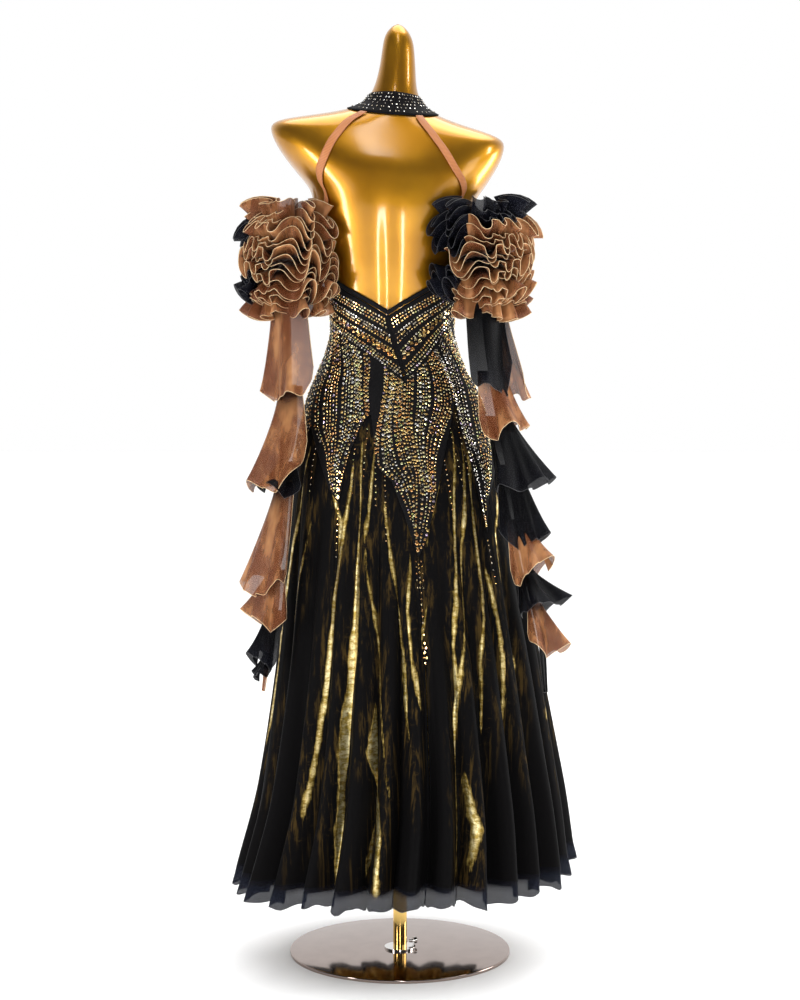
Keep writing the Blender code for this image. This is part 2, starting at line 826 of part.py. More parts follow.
def build_skirt(layer, gore, off, paint, hem_up=0.0, hem_in=0.0):
    """One gore of a skirt. Its folds begin below the bodice's edge and grow to the hem."""
    inner, outer = [], []
    angles = gore_angles(gore)
    for i, angle in enumerate(angles):
        edge = basque_edge(angle)
        start = edge - FOLD_START
        hem = hem_at(angle % 360) + hem_up

        def folded(a, h):
            down = min(max((start - h) / (start - hem), 0.0), 1.0)
            base = worn(a, h)
            out = Vector((base.x - SKIRT["shift"](h), base.y, 0)).normalized()
            return base + out * (swell_at(a) * down**FLUTE_GROWTH - hem_in * down)

        seam = GAP / 2 * ((i == 0) - (i == len(angles) - 1))
        low, high = [], []
        for height in [edge + TUCK] + [blend(start, hem, share) for share in FLUTE_RINGS]:
            normal = normal_of(folded, angle, height)
            aside = normal.cross(Vector((0, 0, 1))).normalized() * -seam
            low.append(folded(angle, height) + aside + normal * off)
            high.append(folded(angle, height) + aside + normal * (off + CHIFFON_THICK))
        inner.append(low)
        outer.append(high)
    wall(layer + "_" + gore, inner, outer, paint)


def build_skirts():
    for gore in dict.fromkeys(flute.gore for flute in FLUTES):
        build_skirt("overskirt", gore, CHIFFON_OFF, "black_chiffon")
        build_skirt("underskirt", gore, LAME_OFF, "gold_lame", LAME_HEM_UP, LAME_HEM_IN)


# ---------------------------------------------------------------- sleeves


def bodice_clearance(point):
    """How far a point lies outside the bodice's outer face, measured level from the body's middle."""
    height = point.z
    shift = FORM["shift"](height)
    dx, dy = point.x - shift, point.y
    degrees = math.degrees(math.atan2(dx, -dy))
    lean = SHOULDER_LEAN * smooth_step(height, 1180, 1440)
    surface = dress_point(degrees, height + lean * dx)
    reach = math.hypot(surface.x - shift, surface.y)
    return math.hypot(dx, dy) - reach - BODICE_OFF_WAIST - STRETCH_THICK


def armband_centre(place):
    """The armband lies against the bodice's side, a seam's gap off it."""
    distance = 120.0
    direction = Vector((math.sin(math.radians(place.degrees)), -math.cos(math.radians(place.degrees)), 0))
    start = Vector((FORM["shift"](place.middle), 0, place.middle))
    while distance < 260.0:
        centre = start + direction * distance
        nearest = min(
            bodice_clearance(centre + around(angle, ARMBAND_RADIUS + ARMBAND_THICK) + Vector((0, 0, up)))
            for angle in range(0, 360, 6)
            for up in (-ARMBAND_HEIGHT / 2, 0, ARMBAND_HEIGHT / 2)
        )
        if nearest >= place.seat:
            return centre
        distance += 0.1
    raise ValueError("the armband finds no seat")


def around(degrees, radius):
    """A level offset, with 0 degrees towards -Y and 90 towards +X."""
    return Vector((radius * math.sin(math.radians(degrees)), -radius * math.cos(math.radians(degrees)), 0))


def ruffle_reach(root, facing, tilt, long):
    """The length that a ruffle can have in one direction before it comes too near the bodice."""
    length = long
    while length > RUFFLE_SHORTEST:
        tip = root + leaning(facing, tilt) * length
        if bodice_clearance(tip) >= RUFFLE_CLEAR:
            break
        length -= 1.0
    return length


def leaning(facing, tilt):
    """The direction that points out at one angle round a body and up by a tilt."""
    return around(facing, math.cos(math.radians(tilt))) + Vector((0, 0, math.sin(math.radians(tilt))))


def build_pouf(place):
    centre = armband_centre(place)
    steps = spread(0, 360 - 360 / ARMBAND_SIDES, ARMBAND_SIDES)
    heights = (-ARMBAND_HEIGHT / 2, ARMBAND_HEIGHT / 2)
    rings = [
        [[centre + around(a, radius) + Vector((0, 0, h)) for h in heights] for a in steps]
        for radius in (ARMBAND_RADIUS, ARMBAND_RADIUS + ARMBAND_THICK)
    ]
    paint = "tan_organza" if place.side == "left" else "black_organza"
    wall("armband_" + place.side, rings[0], rings[1], paint, closed=True)

    mirror = 1 if place.side == "right" else -1
    for row in RUFFLES[place.side]:
        inner, outer = [], []
        count = round((row.end - row.start) / RUFFLE_STEP) + 1
        for turn in spread(row.start + RUFFLE_END, row.end - RUFFLE_END, count):
            facing = place.degrees + mirror * turn
            wave = 360.0 * turn / RUFFLE_WAVE + row.phase
            tilt = row.tilt + RUFFLE_SWING * math.sin(math.radians(wave))
            steep = abs(math.sin(math.radians(row.tilt)))
            root_out = ARMBAND_RADIUS + ARMBAND_THICK + GAP + RUFFLE_ROOT_OFF * steep
            root = centre + around(facing, root_out) + Vector((0, 0, row.root))
            tip = root + leaning(facing, tilt) * ruffle_reach(root, facing, tilt, row.long)
            root_up = leaning(facing, row.tilt + 90) * (RUFFLE_THICK / 2)
            tip_up = leaning(facing, tilt + 90) * (RUFFLE_THICK / 2)
            inner.append([root - root_up, tip - tip_up])
            outer.append([root + root_up, tip + tip_up])
        paint = "tan_organza" if row.name.startswith("tan") else "black_organza"
        wall("ruffle_" + place.side + "_" + row.name, inner, outer, paint)
    return centre


def build_sleeve(place, centre):
    """The strip that hangs from the armband, and the flounces sewn round it."""
    top = centre.z - ARMBAND_HEIGHT / 2 - STRIP_BELOW_BAND
    rows = sorted(SLEEVE_LINES[place.side]) + [SleeveRow(top, centre.x, centre.y, STRIP_RADIUS)]
    line = {name: curve_through(rows, "height", name) for name in ("x", "y", "radius")}
    mirror = 1 if place.side == "right" else -1

    def hanging(column, height, out):
        middle = Vector((line["x"](height), line["y"](height), height))
        turn = place.degrees + mirror * column * SLEEVE_TURN
        return middle + around(turn, line["radius"](height) + out)

    def add_piece(name, grid):
        inner = [[hanging(c, h, out) for h, out in rows] for c, rows in grid]
        outer = [[hanging(c, h, out + SLEEVE_THICK) for h, out in rows] for c, rows in grid]
        tan = "tan" in name or (name == "strip" and place.side == "left")
        paint = "tan_organza" if tan else "black_organza"
        wall("sleeve_" + place.side + "_" + name, inner, outer, paint)

    flounces = FLOUNCES[place.side]
    heights = sorted({top, rows[0].height, *(f.top for f in flounces)})
    add_piece("strip", [(c, [(h, 0.0) for h in heights]) for c in STRIP_COLUMNS])
    for flounce in flounces:
        grid = []
        for column in range(flounce.start, flounce.end + 1):
            share = (column - flounce.start) / (flounce.end - flounce.start)
            wave = FLOUNCE_WAVE * math.sin(2 * math.pi * flounce.waves * share)
            away = math.cos(math.radians(column * SLEEVE_TURN))
            flare = blend(flounce.inner, flounce.flare, 0.5 + 0.5 * away) + wave
            edge = flounce.bottom - flounce.drop * away
            downs = spread(0, 1, FLOUNCE_RINGS)
            grid.append(
                (column, [(blend(flounce.top, edge, d), FLOUNCE_OFF + flare * d) for d in downs])
            )
        add_piece(flounce.name, grid)


def main():
    clear_scene()
    build_stand()
    build_form()
    build_collar()
    build_strap("left", -1)
    build_strap("right", 1)
    build_bodice()
    build_binding()
    build_zip()
    build_skirts()
    for place in ARMBANDS:
        centre = build_pouf(place)
        build_sleeve(place, centre)


main()
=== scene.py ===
"""The looks of a ballroom dance dress on its gold dress form.

Lengths are millimetres in this file and become metres where a mesh is made. +Z is up, +Y is the way
the dress faces, and angles run round the body from the middle of the back, 0, through the right
side, 90, to the middle of the front, 180. Left and right are those of a viewer behind the dress.
"""

import math
from collections import namedtuple

import bmesh
import bpy
import numpy as np
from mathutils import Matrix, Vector


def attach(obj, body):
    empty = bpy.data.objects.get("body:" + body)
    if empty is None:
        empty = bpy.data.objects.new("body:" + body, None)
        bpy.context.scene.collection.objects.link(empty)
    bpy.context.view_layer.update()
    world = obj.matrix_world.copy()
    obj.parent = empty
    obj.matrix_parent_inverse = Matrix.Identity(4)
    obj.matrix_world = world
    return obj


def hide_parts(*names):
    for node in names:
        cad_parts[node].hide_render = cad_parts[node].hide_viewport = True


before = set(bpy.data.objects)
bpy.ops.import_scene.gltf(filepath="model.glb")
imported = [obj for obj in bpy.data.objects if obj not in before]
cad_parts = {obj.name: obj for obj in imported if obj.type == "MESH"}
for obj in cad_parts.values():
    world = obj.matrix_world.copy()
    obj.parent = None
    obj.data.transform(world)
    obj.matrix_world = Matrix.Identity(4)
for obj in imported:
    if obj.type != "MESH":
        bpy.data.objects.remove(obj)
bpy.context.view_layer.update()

MM = 0.001
TINY_ANGLE = 0.25  # degrees, the step for measuring a surface's slope
TINY_HEIGHT = 0.8
STREAK_SEED, STONE_SEED = 5, 11

# Camera
CAMERA_PLACE = (0.0, -4.2, 1.23)
CAMERA_DOWN = 5.5  # degrees
CAMERA_LENS = 84.92

# ---------------------------------------------------------------- sizes of the form and the dress

FORM_BOTTOM, FORM_TOP = 680.0, 1665.0
SHOULDER_LEAN = math.tan(math.radians(4.3))
LEAN_STARTS, LEAN_ENDS = (1180, 1440), (1560, 1640)
FORM_COLUMNS = 36
SPINE_DEEP, SPINE_WIDE, SPINE_ANGLE = 4.0, 8.0, -6.0  # the soft groove down the back
SPINE_STARTS, SPINE_ENDS = (1040, 1180), (1260, 1430)  # the heights where it fades in and out

V_BOTTOM = 1166.0
BINDING_WIDE = 9.0
SIDE_SEAM = 92.0  # degrees from the middle of the back
HIP_FULL, HIP_TOP = 1031.0, 1054.0  # below this band the bodice lies over the skirts
ARMBAND_RADIUS, ARMBAND_HEIGHT = 44.0, 66.0
BALL_WIDE, BALL_TALL = 90.0, 114.0  # from the middle of each pouf to its outline
RUFFLE_WAVE = 27.0  # degrees round the armband for each wave
RUFFLE_CLEAR, RUFFLE_SHORTEST = 2.5, 8.0
RUFFLE_ROOT = 2.3  # from the armband's surface
BODICE_OUTSIDE = 3.1  # from the dress's surface to the bodice's outer face
RUFFLE_LIFTS = (-17.0, 0.0, 18.0)  # degrees between the layers of a row
SLEEVE_TURN = 22.0  # degrees between the columns of a sleeve's table
STRIP_RADIUS = 42.0
FLOUNCE_WAVE, FLOUNCE_OFF = 6.0, 1.6
GATHERS = 24  # round each armband
PLATE_RADIUS, PLATE_THICK = 200.0, 6.0
POLE_RADIUS, POLE_TOP = 12.5, 679.7
FLANGE_RADIUS, FLANGE_LOW, FLANGE_HIGH = 28.0, 6.3, 9.8
SCREW_OUT, SCREW_HEIGHT, SCREW_TURN = 17.3, 16.8, 25.0  # from the pole's middle, and degrees round it


def table(fields, *rows):
    """The rows of a table, with a name for each column."""
    Row = namedtuple("Row", fields)
    return [Row(*row) for row in rows]


FORM_SECTIONS = table(
    "height half_width back front shift power",
    (680, 136, 92, 88, -2, 2.2), (810, 157, 111, 97, -5, 2.2), (930, 165, 120, 102, -8, 2.2),
    (985, 156, 112, 99, -10, 2.2), (1040, 135, 97, 92, -12, 2.2), (1090, 115, 83, 85, -13, 2.2),
    (1130, 107, 77, 82, -14, 2.2), (1180, 111, 80, 89, -13, 2.2), (1236, 125, 89, 109, -12, 2.2),
    (1300, 137, 97, 126, -12, 2.2), (1335, 141, 101, 121, -12, 2.3),
    (1362, 144, 102, 113, -12, 2.4), (1386, 161, 101, 101, -14, 2.5), (1413, 181, 99, 88, -18, 2.6),
    (1447, 201, 89, 75, -21, 2.8), (1472, 207, 77, 66, -22, 2.8), (1482, 197, 72, 61, -22, 2.6),
    (1490, 168, 68, 58, -21, 2.4), (1498, 130, 64, 55, -18, 2.2), (1506, 97, 60, 52, -14, 2.1),
    (1514, 72, 54, 48, -12, 2.0), (1524, 54, 48, 44, -10, 2.0), (1538, 44, 43, 40, -9, 2.0),
    (1560, 36, 37, 36, -7, 2.0), (1594, 31, 31, 31, -4, 2.0), (1630, 27, 27, 27, -3, 2.0),
    (1650, 20, 20, 20, -4, 2.0), (1660, 11, 11, 11, -4, 2.0),
)

SKIRT_SECTIONS = table(
    "height half_width back front shift",
    (110, 284, 268, 266, 6), (150, 278, 262, 260, 8), (320, 252, 232, 230, 18),
    (520, 226, 201, 198, 15), (700, 205, 171, 166, 6), (850, 186, 145, 132, -3),
    (930, 174, 130, 113, -8), (985, 160, 116, 104, -10), (1060, 140, 100, 98, -12),
)
FLARE_START, FLARE_FULL = 985.0, 890.0

TWIST = table(
    "height degrees",
    (150, 8), (740, 9.6), (1051, 11), (1166, -5.7), (1230, -6), (1340, 0), (1560, 0),
)

# (degrees, height) of the bodice's pointed lower edge
BASQUE_EDGE = (
    (0, 742), (4.5, 763), (22, 900), (39.6, 1003), (41, 930), (44, 779), (49, 834), (64, 898),
    (78, 955), (105, 815), (142, 958), (180, 742), (218, 958), (255, 830), (283, 960),
    (295.5, 906), (304, 857), (311, 831), (316, 922), (324, 975), (329.4, 985), (335.4, 897),
    (346, 870), (353, 816), (360, 742),
)

HEM = table(
    "degrees height",
    (0, 152), (45, 152), (90, 166), (135, 156), (180, 150), (225, 142), (270, 128), (315, 142),
    (360, 152),
)

BODICE_TOP = table(
    "degrees height",
    (0, 1166), (14, 1178), (34, 1196), (52, 1216), (66, 1250), (80, 1305), (92, 1335), (105, 1341),
    (117, 1356), (130, 1392), (142, 1446), (150, 1494), (155, 1530), (180, 1560),
)

# One row for each flute of the skirt: its width round the body and how deep it is at the hem
FLUTES = table(
    "gore degrees depth",
    ("back_right", 13, 46), ("back_right", 12, 58), ("back_right", 14, 50), ("back_right", 11, 40),
    ("side_right", 14, 54), ("side_right", 13, 44), ("side_right", 15, 60), ("side_right", 13, 48),
    ("front_right", 15, 56), ("front_right", 14, 46), ("front_right", 16, 58),
    ("front_right", 14, 50), ("front_right", 16, 44), ("front_left", 15, 50),
    ("front_left", 16, 58), ("front_left", 14, 44), ("front_left", 15, 52), ("front_left", 15, 48),
    ("side_left", 14, 56), ("side_left", 13, 44), ("side_left", 15, 58), ("side_left", 13, 50),
    ("back_left", 12, 42), ("back_left", 14, 56), ("back_left", 11, 44), ("back_left", 13, 60),
)
FLUTE_GROWTH = 1.25
FOLD_START = 30.0  # how far below the bodice's edge the folds begin
TUCK = 16.0  # how far the skirts reach up under the bodice's edge
LAME_HEM_UP, LAME_HEM_IN = 26.0, 10.0
LAME_OFF, CHIFFON_OFF = 1.9, 3.5  # from the dress's middle surface

STRAP = table(
    "height degrees",
    (1322, 86), (1346, 80), (1374, 67), (1398, 57.5), (1425, 51.5), (1458, 48), (1486, 45),
    (1506, 40),
)

COLLAR_EDGES = table(
    "degrees low high",
    (0, 1503, 1544), (45, 1505, 1542), (90, 1511, 1538), (135, 1502, 1532), (180, 1494, 1526),
)

# Ruffle rows of each pouf, from the top. Root is the height on the armband, tilt is how far the row
# points up, and start and end are degrees round the armband from the side away from the body
RUFFLES = {
    "left": table(
        "name root tilt start end",
        ("tan_top", 30, 70, -150, 112.5),
        ("tan_high", 15, 33, -157.5, -7.5),
        ("black_high", 15, 33, -7.5, 112.5),
        ("tan_middle", 0, 0, -157.5, 112.5),
        ("tan_low", -15, -33, -157.5, -22.5),
        ("black_low", -15, -33, -22.5, 112.5),
        ("tan_hem", -30, -63, -150, 112.5),
    ),
    "right": table(
        "name root tilt start end",
        ("black_top", 30, 68, -150, 112.5),
        ("black_high", 15, 33, -157.5, -82.5),
        ("tan_high", 15, 33, -82.5, 112.5),
        ("tan_middle", 0, 0, -105, 112.5),
        ("black_low", -15, -33, -157.5, -90),
        ("tan_low", -15, -33, -90, 112.5),
        ("tan_hem", -30, -68, -112.5, 112.5),
    ),
}
ARMBANDS = table(
    "side mirror colour centre degrees",
    ("left", -1, "tan_organza", np.array([-188.9, -44.1, 1252.0]), -76.0),
    ("right", 1, "black_organza", np.array([139.5, -84.0, 1256.0]), 61.0),
)

# The middle line of each sleeve below its armband, and its radius
SLEEVE_LINES = {
    "left": table(
        "height x y radius",
        (1130, -185, -52, 30), (1000, -185, -72, 22), (860, -196, -92, 18), (700, -212, -112, 15),
        (580, -222, -128, 11), (505, -234, -138, 6),
    ),
    "right": table(
        "height x y radius",
        (1130, 146, -98, 30), (1035, 158, -108, 23), (960, 172, -112, 20), (870, 190, -118, 18),
        (780, 204, -126, 16), (700, 219, -132, 15), (600, 240, -140, 11), (505, 250, -148, 6),
    ),
}
# Flounces of each sleeve, from the top. Top and bottom are heights, and drop is how much lower the
# edge hangs on the side away from the body. Flare is how far the edge stands out on that side, and
# inner on the side by the body
FLOUNCES = {
    "left": table(
        "name top bottom drop flare inner start end waves",
        ("tan_1", 1196, 1013, -2, 20, 40, -5, 4, 2), ("tan_2", 1034, 880, 22, 49, 2, -5, 5, 2),
        ("black_3", 900, 847, -15, 33, 10, -5, 5, 2), ("tan_4", 868, 696, 15, 42, 4, -5, 5, 2),
        ("tan_5", 716, 614, -20, 30, 8, -5, 5, 2), ("black_6", 646, 554, -6, 22, 8, -5, 5, 2),
        ("black_7", 574, 530, 0, 16, 4, -4, 4, 1),
    ),
    "right": table(
        "name top bottom drop flare inner start end waves",
        ("black_1", 1196, 1032, 8, 20, 10, -5, 0, 1), ("tan_2", 1186, 1020, 0, 46, 22, 1, 5, 1),
        ("tan_3", 1062, 946, -26, 30, 8, -5, 5, 2), ("black_4", 984, 856, -14, 50, 8, -5, 5, 2),
        ("black_5", 900, 762, -8, 24, 10, -5, 5, 2), ("tan_6", 806, 698, -34, 34, 12, -5, 5, 2),
        ("black_7", 714, 642, -24, 44, 8, -5, 5, 2), ("tan_8", 664, 582, 2, 32, 6, -4, 4, 2),
    ),
}

# Gold streaks where the skirt clings to the foiled cloth, each with a painted highlight down its middle:
# (angle, height, width) along each
STREAKS = [
    ((-74.5, 918, 3), (-83.5, 728, 7), (-85.5, 666, 11), (-96, 586, 6), (-96, 442, 5), (-97, 390, 2)),
    ((-67.5, 794, 3), (-74, 610, 4), (-78, 474, 5), (-79.5, 332, 4), (-76.5, 242, 6), (-74, 162, 3)),
    ((-41, 888, 3), (-46, 738, 6), (-48.5, 668, 10), (-50.5, 566, 11), (-52.5, 452, 7), (-54.5, 296, 3)),
    (
        (-34.5, 828, 3), (-35.5, 740, 8), (-35.5, 646, 20), (-37, 570, 26), (-38.5, 504, 16),
        (-40, 410, 14), (-40, 340, 6), (-39.5, 282, 14), (-38, 206, 8),
    ),
    ((-31, 740, 2), (-27, 648, 4), (-23.5, 566, 3), (-20.5, 450, 2), (-17.5, 344, 2)),
    ((-26, 478, 5), (-26.5, 408, 16), (-23, 344, 8), (-20, 276, 9), (-18.5, 178, 6)),
    ((-16, 730, 2), (-12.5, 648, 4), (-10.5, 566, 4), (-9.5, 474, 2), (-6.5, 392, 1)),
    ((-5, 736, 3), (-8, 648, 4), (-6.5, 554, 3), (-4.5, 490, 1)),
    ((23.5, 928, 4), (17.5, 870, 5), (10, 806, 4), (6, 770, 2)),
    (
        (33.5, 940, 3), (25.5, 828, 4), (20, 710, 5), (15.5, 594, 6), (15, 506, 3),
        (13, 460, 10), (11.5, 354, 3), (11.5, 210, 4),
    ),
    ((38.5, 926, 3), (26, 738, 4), (19, 592, 3), (15, 494, 2)),
    ((41.5, 914, 4), (35.5, 778, 6), (33.5, 678, 6), (28.5, 562, 3), (27, 444, 2)),
    ((40.5, 712, 2), (42, 640, 4), (42, 568, 4), (40, 468, 2)),
    ((79, 560, 4), (73.5, 514, 10), (70, 442, 3)),
    ((51.5, 552, 3), (49, 474, 5), (46.5, 374, 2)),
    ((58.5, 834, 3), (51, 776, 5), (48.5, 686, 3)),
    ((-19.5, 830, 3), (-15, 700, 3)),
    ((-36, 940, 3), (-34.5, 822, 3)),
    ((-25.5, 940, 3), (-28.5, 858, 5), (-31, 782, 2)),
    ((-53.5, 850, 5), (-46.5, 798, 8), (-47, 750, 3)),
    ((16, 366, 3), (18, 278, 10), (16.5, 220, 5)),
    ((3, 660, 2), (-1.5, 600, 3)),
    ((-24.5, 246, 12), (-25.5, 216, 6)),
]
STREAK_ANGLES = [*np.linspace(86, 182, 17), *np.linspace(188, 262, 14)]  # of the sides and the front


def streaks_of_sides():
    """Streaks like those of the back, one at each angle of the sides and the front."""
    draw = np.random.default_rng(STREAK_SEED).uniform
    found = []
    for middle in STREAK_ANGLES:
        top, long, wide, drift = draw(520, 900), draw(140, 420), draw(2, 13), draw(-3, 3)
        waist = (middle + drift * 0.4, top - long * 0.5, wide)
        found.append(((middle, top, 2), waist, (middle + drift, max(top - long, 170), 2)))
    return found


# ---------------------------------------------------------------- curves and surfaces


class Curve:
    """A smooth curve through two columns of a table. It never overshoots the table's points."""

    def __init__(self, rows, key, value):
        self.x = np.array([getattr(row, key) for row in rows], float)
        self.y = np.array([getattr(row, value) for row in rows], float)
        steps = np.diff(self.y) / np.diff(self.x)
        before, after = steps[:-1], steps[1:]
        turning = before * after <= 0
        total = np.where(turning, 1.0, before + after)
        middle = np.where(turning, 0.0, 2 * before * after / total)
        self.slopes = np.concatenate([steps[:1], middle, steps[-1:]])

    def __call__(self, at):
        at = np.clip(at, self.x[0], self.x[-1])
        i = np.clip(np.searchsorted(self.x, at, side="right") - 1, 0, len(self.x) - 2)
        span = self.x[i + 1] - self.x[i]
        t = (at - self.x[i]) / span
        return (
            self.y[i] * (1 + 2 * t) * (1 - t) ** 2
            + self.slopes[i] * span * t * (1 - t) ** 2
            + self.y[i + 1] * t * t * (3 - 2 * t)
            - self.slopes[i + 1] * span * t * t * (1 - t)
        )


def curves_of(rows):
    """A curve over height for each of a table's other columns."""
    return {name: Curve(rows, "height", name) for name in rows[0]._fields[1:]}


FORM = curves_of(FORM_SECTIONS)
SKIRT = curves_of(SKIRT_SECTIONS)
twist_at = Curve(TWIST, "height", "degrees")
hem_at = Curve(HEM, "degrees", "height")
bodice_top_at = Curve(BODICE_TOP, "degrees", "height")
collar_low_at = Curve(COLLAR_EDGES, "degrees", "low")
collar_high_at = Curve(COLLAR_EDGES, "degrees", "high")
strap_angle_at = Curve(STRAP, "height", "degrees")


def smooth_step(x, low, high):
    t = np.clip((x - low) / (high - low), 0.0, 1.0)
    return t * t * (3 - 2 * t)


def mix(a, b, share):
    return a + (b - a) * share


def sin_deg(degrees):
    return np.sin(np.radians(degrees))


def cos_deg(degrees):
    return np.cos(np.radians(degrees))


def crossed(first, second):
    """Every pair of two rows of numbers, as two grids."""
    return np.meshgrid(first, second, indexing="ij")


def vectors(x, y, z):
    return np.stack(np.broadcast_arrays(x, y, z), axis=-1).astype(float)


def unit(v):
    return v / np.maximum(np.linalg.norm(v, axis=-1, keepdims=True), 1e-12)


def from_back(degrees):
    """The angle from the middle of the back, the same on both sides, from 0 to 180."""
    return np.abs((degrees + 180) % 360 - 180)


def round_section(degrees, half_width, back, front, power):
    across, along = sin_deg(degrees), cos_deg(degrees)
    depth = np.where(along > 0, back, front)
    return (np.abs(across / half_width) ** power + np.abs(along / depth) ** power) ** (-1 / power)


def lean_at(height):
    """How steeply the shoulders fall to the right. The lean fades in above the waist and out up the neck."""
    return SHOULDER_LEAN * smooth_step(height, *LEAN_STARTS) * (1 - smooth_step(height, *LEAN_ENDS))


def placed(degrees, height, radius, shift):
    x = radius * sin_deg(degrees)
    return vectors(shift + x, -radius * cos_deg(degrees), height - lean_at(height) * x)


def form_radius(degrees, height):
    height = np.maximum(height, FORM_BOTTOM)
    return round_section(degrees, *(FORM[name](height) for name in ("half_width", "back", "front", "power")))


def form_point(degrees, height):
    return placed(degrees, height, form_radius(degrees, height), FORM["shift"](height))


def dress_point(degrees, height):
    """The middle surface of the dress without its folds: on the form above, flared below."""
    share = 1 - smooth_step(height, FLARE_FULL, FLARE_START)
    fitted = form_radius(degrees, height)
    flared = round_section(degrees, *(SKIRT[name](height) for name in ("half_width", "back", "front")), 2.1)
    shift = mix(FORM["shift"](np.maximum(height, FORM_BOTTOM)), SKIRT["shift"](height), share)
    return placed(degrees, height, mix(fitted, np.maximum(flared, fitted), share), shift)


def worn(degrees, height):
    """A point given in the dress's own angles, once it hangs twisted on the form."""
    return dress_point(degrees + twist_at(height), height)


def normal_of(surface, degrees, height):
    along = surface(degrees + TINY_ANGLE, height) - surface(degrees - TINY_ANGLE, height)
    up = surface(degrees, height + TINY_HEIGHT) - surface(degrees, height - TINY_HEIGHT)
    return unit(np.cross(along, up))


def lifted(surface, degrees, height, distance):
    return surface(degrees, height) + normal_of(surface, degrees, height) * np.asarray(distance)[..., None]


def basque_edge(degrees):
    table = np.array(BASQUE_EDGE, float)
    return np.interp(np.asarray(degrees, float) % 360.0, table[:, 0], table[:, 1])


def bodice_off(degrees, height):
    """How far the bodice's cloth lies off the dress's surface."""
    hugging = 2.4 + 6.0 * smooth_step(from_back(degrees), SIDE_SEAM, 120)
    return mix(5.6, hugging, smooth_step(height, HIP_FULL, HIP_TOP))


def bodice_point(degrees, height, above=0.0):
    """A point of the bodice's cloth, or above it."""
    return lifted(worn, degrees, height, bodice_off(degrees, height) + above)


def wander(at, seed):
    """A smooth wavering number between -1 and 1 that never quite repeats."""
    slow = np.sin(at * 0.618 + seed * 2.9)
    quick = np.sin(at * 1.71 + seed * 0.7)
    return np.sin(at + seed * 1.7) * 0.5 + slow * 0.3 + quick * 0.2


# ---------------------------------------------------------------- meshes


def add_object(name, data):
    obj = bpy.data.objects.new(name, data)
    bpy.context.scene.collection.objects.link(obj)
    return obj


def make_object(name, points, faces, finish, smooth=True):
    """A mesh object from points in millimetres and an array of faces with equal counts of corners,
    or a list of such arrays."""
    blocks = faces if isinstance(faces, list) else [faces]
    corners = np.concatenate([block.ravel() for block in blocks]).astype(np.int32)
    counts = np.concatenate([np.full(len(block), block.shape[1], np.int32) for block in blocks])
    starts = np.concatenate([[0], np.cumsum(counts)[:-1]]).astype(np.int32)
    mesh = bpy.data.meshes.new(name)
    mesh.vertices.add(len(points))
    mesh.vertices.foreach_set("co", (np.asarray(points, float) * MM).astype(np.float32).ravel())
    mesh.loops.add(len(corners))
    mesh.loops.foreach_set("vertex_index", corners)
    mesh.polygons.add(len(counts))
    mesh.polygons.foreach_set("loop_start", starts)
    mesh.polygons.foreach_set("use_smooth", np.full(len(counts), smooth))
    mesh.update(calc_edges=True)
    mesh.validate()
    mesh.materials.append(finish)
    return add_object(name, mesh)


def add_number(obj, name, values):
    """A number at each vertex, that a finish can read."""
    attribute = obj.data.attributes.new(name, "FLOAT", "POINT")
    attribute.data.foreach_set("value", np.asarray(values, np.float32).ravel())


def add_colour(obj, name, colours):
    attribute = obj.data.color_attributes.new(name, "FLOAT_COLOR", "POINT")
    rgba = np.concatenate([colours, np.ones((len(colours), 1))], axis=1)
    attribute.data.foreach_set("color", rgba.astype(np.float32).ravel())


def add_cut_map(obj, u, v):
    """A UV map in metres of the flat cloth: u across it and v along it, one pair for each vertex."""
    layer = obj.data.uv_layers.new(name="cut")
    corners = np.empty(len(obj.data.loops), np.int32)
    obj.data.loops.foreach_get("vertex_index", corners)
    pairs = np.stack([u, v], axis=-1).astype(np.float32)[corners]
    layer.data.foreach_set("uv", pairs.ravel())


def grid_normals(points):
    across = np.gradient(points, axis=0)
    along = np.gradient(points, axis=1)
    return unit(np.cross(across, along))


def grid_faces(columns, rows, closed=False):
    """The faces of a wall between two grids of points: front, back and rim."""
    size = columns * rows
    c, r = crossed(np.arange(columns if closed else columns - 1), np.arange(rows - 1))
    c, r = c.ravel(), r.ravel()

    def at(column, row, back=0):
        return (column % columns) * rows + row + back * size

    front = np.stack([at(c, r), at(c + 1, r), at(c + 1, r + 1), at(c, r + 1)], axis=1)
    back = front[:, ::-1] + size
    k = np.arange(columns if closed else columns - 1)
    low, high = np.zeros_like(k), np.full_like(k, rows - 1)
    rims = [
        np.stack([at(k + 1, low), at(k, low), at(k, low, 1), at(k + 1, low, 1)], axis=1),
        np.stack([at(k, high), at(k + 1, high), at(k + 1, high, 1), at(k, high, 1)], axis=1),
    ]
    if not closed:
        k = np.arange(rows - 1)
        first, last = np.zeros_like(k), np.full_like(k, columns - 1)
        rims += [
            np.stack([at(first, k), at(first, k + 1), at(first, k + 1, 1), at(first, k, 1)], axis=1),
            np.stack([at(last, k + 1), at(last, k), at(last, k, 1), at(last, k + 1, 1)], axis=1),
        ]
    return np.concatenate([front, back, *rims])


def lengths_along(points, axis):
    """How far along the cloth each point of a grid lies, in millimetres."""
    steps = np.linalg.norm(np.diff(points, axis=axis), axis=-1)
    start = np.zeros_like(np.take(steps, [0], axis=axis))
    return np.concatenate([start, np.cumsum(steps, axis=axis)], axis=axis)


Cut = namedtuple("Cut", "width length area")
LEAST_AREA = 0.31  # the share of its length times its width that a cut piece fills at least


def cut_of(points):
    """The flat size of the cloth that a grid of points is made from, in metres."""
    length = lengths_along(points, 1)[:, -1].max() * MM
    across, along = np.diff(points, axis=0)[:, :-1], np.diff(points, axis=1)[:-1]
    area = np.linalg.norm(np.cross(across, along), axis=-1).sum() * MM * MM
    # A row of points along a zigzag edge is longer than the cloth is wide
    width = min(lengths_along(points, 0)[-1].max() * MM, area / length / 0.4)
    return Cut(width, length, area)


